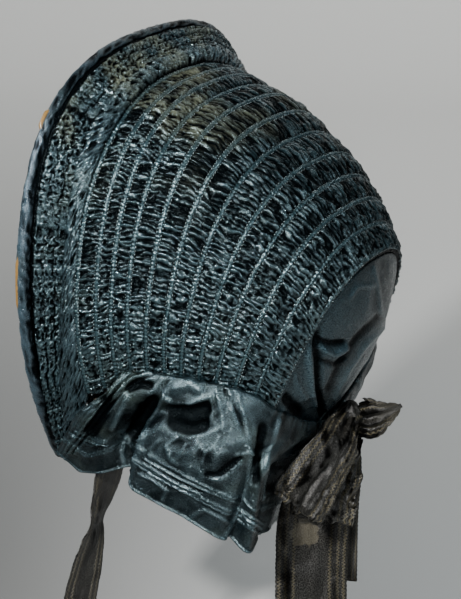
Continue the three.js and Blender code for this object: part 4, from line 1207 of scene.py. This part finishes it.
def ribbonGrid(name, route, drop, width, depth, gathered):
    keys = np.array(route)
    count = len(route)
    rough = throughKeys(keys, np.arange(count), np.linspace(0, count - 1, 60))
    scale = np.array((hood["halfWidth"], depth, drop))
    length = np.linalg.norm(np.diff(rough[:, :3] * scale, axis=0), axis=1).sum()
    steps = max(int(length / ribbon["step"]), 12)
    line = throughKeys(keys, np.arange(count), np.linspace(0, count - 1, steps))
    centre = line[:, :3] * scale - (0, hood["seatDepth"], hood["seatHeight"])
    along = unit(np.gradient(centre, axis=0))
    facing = np.radians(line[:, 4])
    looks = np.stack([np.cos(facing), np.sin(facing), np.zeros(steps)], axis=1)
    across = np.cross(looks, along)
    if name in loopEdges:
        edge = np.array(loopEdges[name])
        across = edge - (along @ edge)[:, None] * along
    across = unit(across)
    reach = stepsOf(centre).cumsum()
    sides = np.linspace(-1, 1, ribbon["rows"])
    scallops = np.abs(np.sin(math.pi * reach / ribbon["scallopPitch"]))
    half = line[:, 3] * width / 2 + ribbon["scallop"] * scallops
    if name == "bow_end":
        half = half + ribbon["torn"] * sharpNoise(reach / (3 * mm), 0 * reach, 3)
    grid = centre + across * sides[:, None, None] * half[:, None]
    seed = len(name) + count
    u, v = sides[:, None] * line[None, :, 3] * width / 2, np.broadcast_to(reach, (len(sides), steps))
    bend = 5 * mm * softNoise(u / (12 * mm), v / (15 * mm), seed + 2)
    heights = ribbon["crease"] * sharpNoise((u + bend) / (6 * mm), (v + bend) / (34 * mm) + seed, seed)
    heights += 0.45 * ribbon["crease"] * sharpNoise((u + bend) / (8 * mm), (v - bend) / (10 * mm), seed + 1)
    if gathered:
        pinch = 1 - ease(v, 0, 26 * mm)
        if name in loopEdges:
            pinch = pinch + 1 - ease(reach[-1] - v, 0, 20 * mm)
        folds = np.cos(sides[:, None] * math.pi * 3.5 + 0.7 * np.sin(v / (9 * mm)) + seed)
        heights += ribbon["gather"] * folds * pinch
        if "streamer" not in name:
            crush = ribbon["endCrush"] if name == "bow_end" else ribbon["bowCrush"]
            heights += crush * sharpNoise((u + bend) / (8 * mm), (v - bend) / (26 * mm), seed + 5)
            heights += 0.45 * crush * sharpNoise((u - bend) / (4 * mm), (v + bend) / (12 * mm), seed + 6)
            heights += 0.5 * crush * sharpNoise((u + v) / (9 * mm), (u - v) / (5 * mm), seed + 7)
        else:
            fall = 0.6 * mm * np.cos(sides[:, None] * 4.6 + 0.5 * np.sin(v / (30 * mm)) + seed)
            heights += fall * ease(v, 10 * mm, 40 * mm)
    return grid, heights, sides, reach


def ribbonPiece(name, route, drop, width, depth, material, gathered=False):
    grid, heights, sides, reach = ribbonGrid(name, route, drop, width, depth, gathered)
    piece = sheetWall(f"{name}_ribbon", grid, ribbon["wall"], heights, material)
    values = bothSides(flatPlaces(reach[None], sides[:, None] * width / 2))
    piece.data.attributes["clothPlace"].data.foreach_set("vector", values.astype(np.float32).ravel())
    return finishPiece(piece, "ribbon", name)


def bowKnot():
    around, down = knot["around"], knot["down"]
    angle = np.linspace(0, 2 * math.pi, around, endpoint=False)
    fall = np.linspace(knot["pole"], math.pi - knot["pole"], down)[:, None]
    ring = (np.cos(angle) * np.sin(fall), np.sin(angle) * np.sin(fall), np.cos(fall))
    ball = np.stack(np.broadcast_arrays(*ring), axis=-1)
    lines = 0.5 + 0.5 * np.cos(angle * knot["folds"] + 1.6 * np.sin(fall * 2.4))
    dents = softNoise(angle * 4 / math.pi, fall * 2.2 + 0 * angle, 4)
    rise = 1 + knot["foldDepth"] * (lines - 0.5) * np.sin(fall)
    rise = rise + knot["dentDepth"] * (dents - 0.5) * np.sin(fall)
    size = np.array((knot["width"], knot["depth"], knot["height"])) / 2
    scale = np.array((hood["halfWidth"], curtain["napeDepth"], ribbon["bowDrop"]))
    middle = np.array(knot["place"]) * scale - (0, hood["seatDepth"], hood["seatHeight"])
    points = ball * rise[..., None] * size + middle
    row, column = np.meshgrid(np.arange(down - 1), np.arange(around), indexing="ij")
    right = (column + 1) % around
    faces = np.stack([row * around + column, (row + 1) * around + column, (row + 1) * around + right,
                      row * around + right], -1).reshape(-1, 4).tolist()
    faces.append(list(range(around)))
    faces.append([(down - 1) * around + c for c in range(around)][::-1])
    piece = meshPiece("bow_knot_ribbon", points, faces)
    place = flatPlaces(angle[None] * knot["cloth"], fall * knot["cloth"])
    setValues(piece, "clothPlace", place, "FLOAT_VECTOR")
    # painted shade: the knot is darker in its dents and fold lines and lighter on what stands out
    setValues(piece, "ridge", np.clip(rise - 0.5, 0, 1))
    paint(piece, bowSilk)
    return finishPiece(piece, "ribbon", "bow_knot")


for name, route in ties.items():
    ribbonPiece(name, route, ribbon["tieDrop"], ribbon["tieWidth"], hood["depth"], tieSilk)
for name, route in bow.items():
    silk = streamerSilk if name == "streamer_long" else bowSilk
    ribbonPiece(name, route, ribbon["bowDrop"], ribbon["bowWidth"], curtain["napeDepth"], silk, True)
bowKnot()
print("ribbons made")

# Camera, floor and light
view = {"eye": Vector((1.3457, 0.6826, 0.3059)), "target": Vector((-0.02466, -0.01566, -0.13517)),
        "lens": 150.25, "sensor": 36, "clip": (0.05, 20)}
camera = addObject("camera", bpy.data.cameras.new("camera"))
camera.location = view["eye"]
camera.rotation_euler = (view["target"] - view["eye"]).to_track_quat("-Z", "Y").to_euler()
camera.data.lens = view["lens"]
camera.data.sensor_width = view["sensor"]
camera.data.clip_start, camera.data.clip_end = view["clip"]
bpy.context.scene.camera = camera

studio = {"floorZ": -0.42, "reach": 6.0, "back": 2.8, "bend": 0.8, "bendSteps": 12, "tall": 5.0,
          "grey": (0.47, 0.475, 0.465), "roughness": 0.9, "shadeWidth": 0.25, "shadeDepth": (0.1, 2.5),
          "fade": (0.12, 0.82), "world": (0.5, 0.51, 0.52), "worldPower": 0.1}


# A sheet of paper that lies below the bonnet and bends up behind it
def stageFloor():
    reach, bend, back = studio["reach"], studio["bend"], studio["back"]
    away = Vector((-(view["eye"] - view["target"]).x, -(view["eye"] - view["target"]).y, 0)).normalized()
    side = away.cross(Vector((0, 0, 1)))
    profile = [(-reach / 2, 0.0), (back - bend, 0.0)]
    for i in range(1, studio["bendSteps"] + 1):
        turn = math.pi / 2 * i / studio["bendSteps"]
        profile.append((back - bend + bend * math.sin(turn), bend - bend * math.cos(turn)))
    profile.append((back, studio["tall"]))
    points = []
    for out, up in profile:
        for end in (-reach, reach):
            points.append(tuple(away * out + side * end + Vector((0, 0, studio["floorZ"] + up))))
    faces = [(2 * i, 2 * i + 1, 2 * i + 3, 2 * i + 2) for i in range(len(profile) - 1)]
    floor = meshPiece("floor", points, faces)
    paper, tree, shader = newMaterial("paper")
    spot = addNode(tree, "ShaderNodeTexCoord").outputs["Object"]
    # painted shade: the paper is darker on the near floor, most to the left, and full grey on the backdrop
    # behind
    depth = measured(tree, "DOT_PRODUCT", spot, tuple(away))
    aside = measured(tree, "DOT_PRODUCT", spot, tuple(side))
    low = smooth(tree, aside, -studio["shadeWidth"], studio["shadeWidth"], *studio["fade"])
    shade = smooth(tree, depth, *studio["shadeDepth"], low, 1.0)
    plug(tree, shader.inputs["Base Color"], scaled(tree, studio["grey"], shade))
    shader.inputs["Roughness"].default_value = studio["roughness"]
    paint(floor, paper)


stageFloor()
lights = [
    {"name": "key", "place": (1.25, 0.15, 0.55), "power": 72, "size": 0.075, "color": (1.0, 0.99, 0.97)},
    {"name": "side", "place": (0.5, -0.9, 0.5), "power": 18, "size": 0.2, "color": (0.9, 0.96, 1.0)},
    {"name": "fill", "place": (0.5, 1.3, 0.3), "power": 12, "size": 0.4, "color": (0.88, 0.95, 1.0)},
    {"name": "backdrop", "place": (-1.5, 0.1, 2.2), "aim": (-2.9, -0.9, 1.0), "power": 75, "size": 1.1,
     "color": (1.0, 1.0, 0.99)},
]
for lamp in lights:
    data = bpy.data.lights.new(lamp["name"], "AREA")
    data.energy, data.size, data.color = lamp["power"], lamp["size"], lamp["color"]
    light = addObject(lamp["name"], data)
    light.location = lamp["place"]
    aim = Vector(lamp.get("aim", view["target"]))
    light.rotation_euler = (aim - light.location).to_track_quat("-Z", "Y").to_euler()
world = bpy.data.worlds.new("studio")
bpy.context.scene.world = world
world.use_nodes = True
world.node_tree.nodes["Background"].inputs["Color"].default_value = (*studio["world"], 1)
world.node_tree.nodes["Background"].inputs["Strength"].default_value = studio["worldPower"]
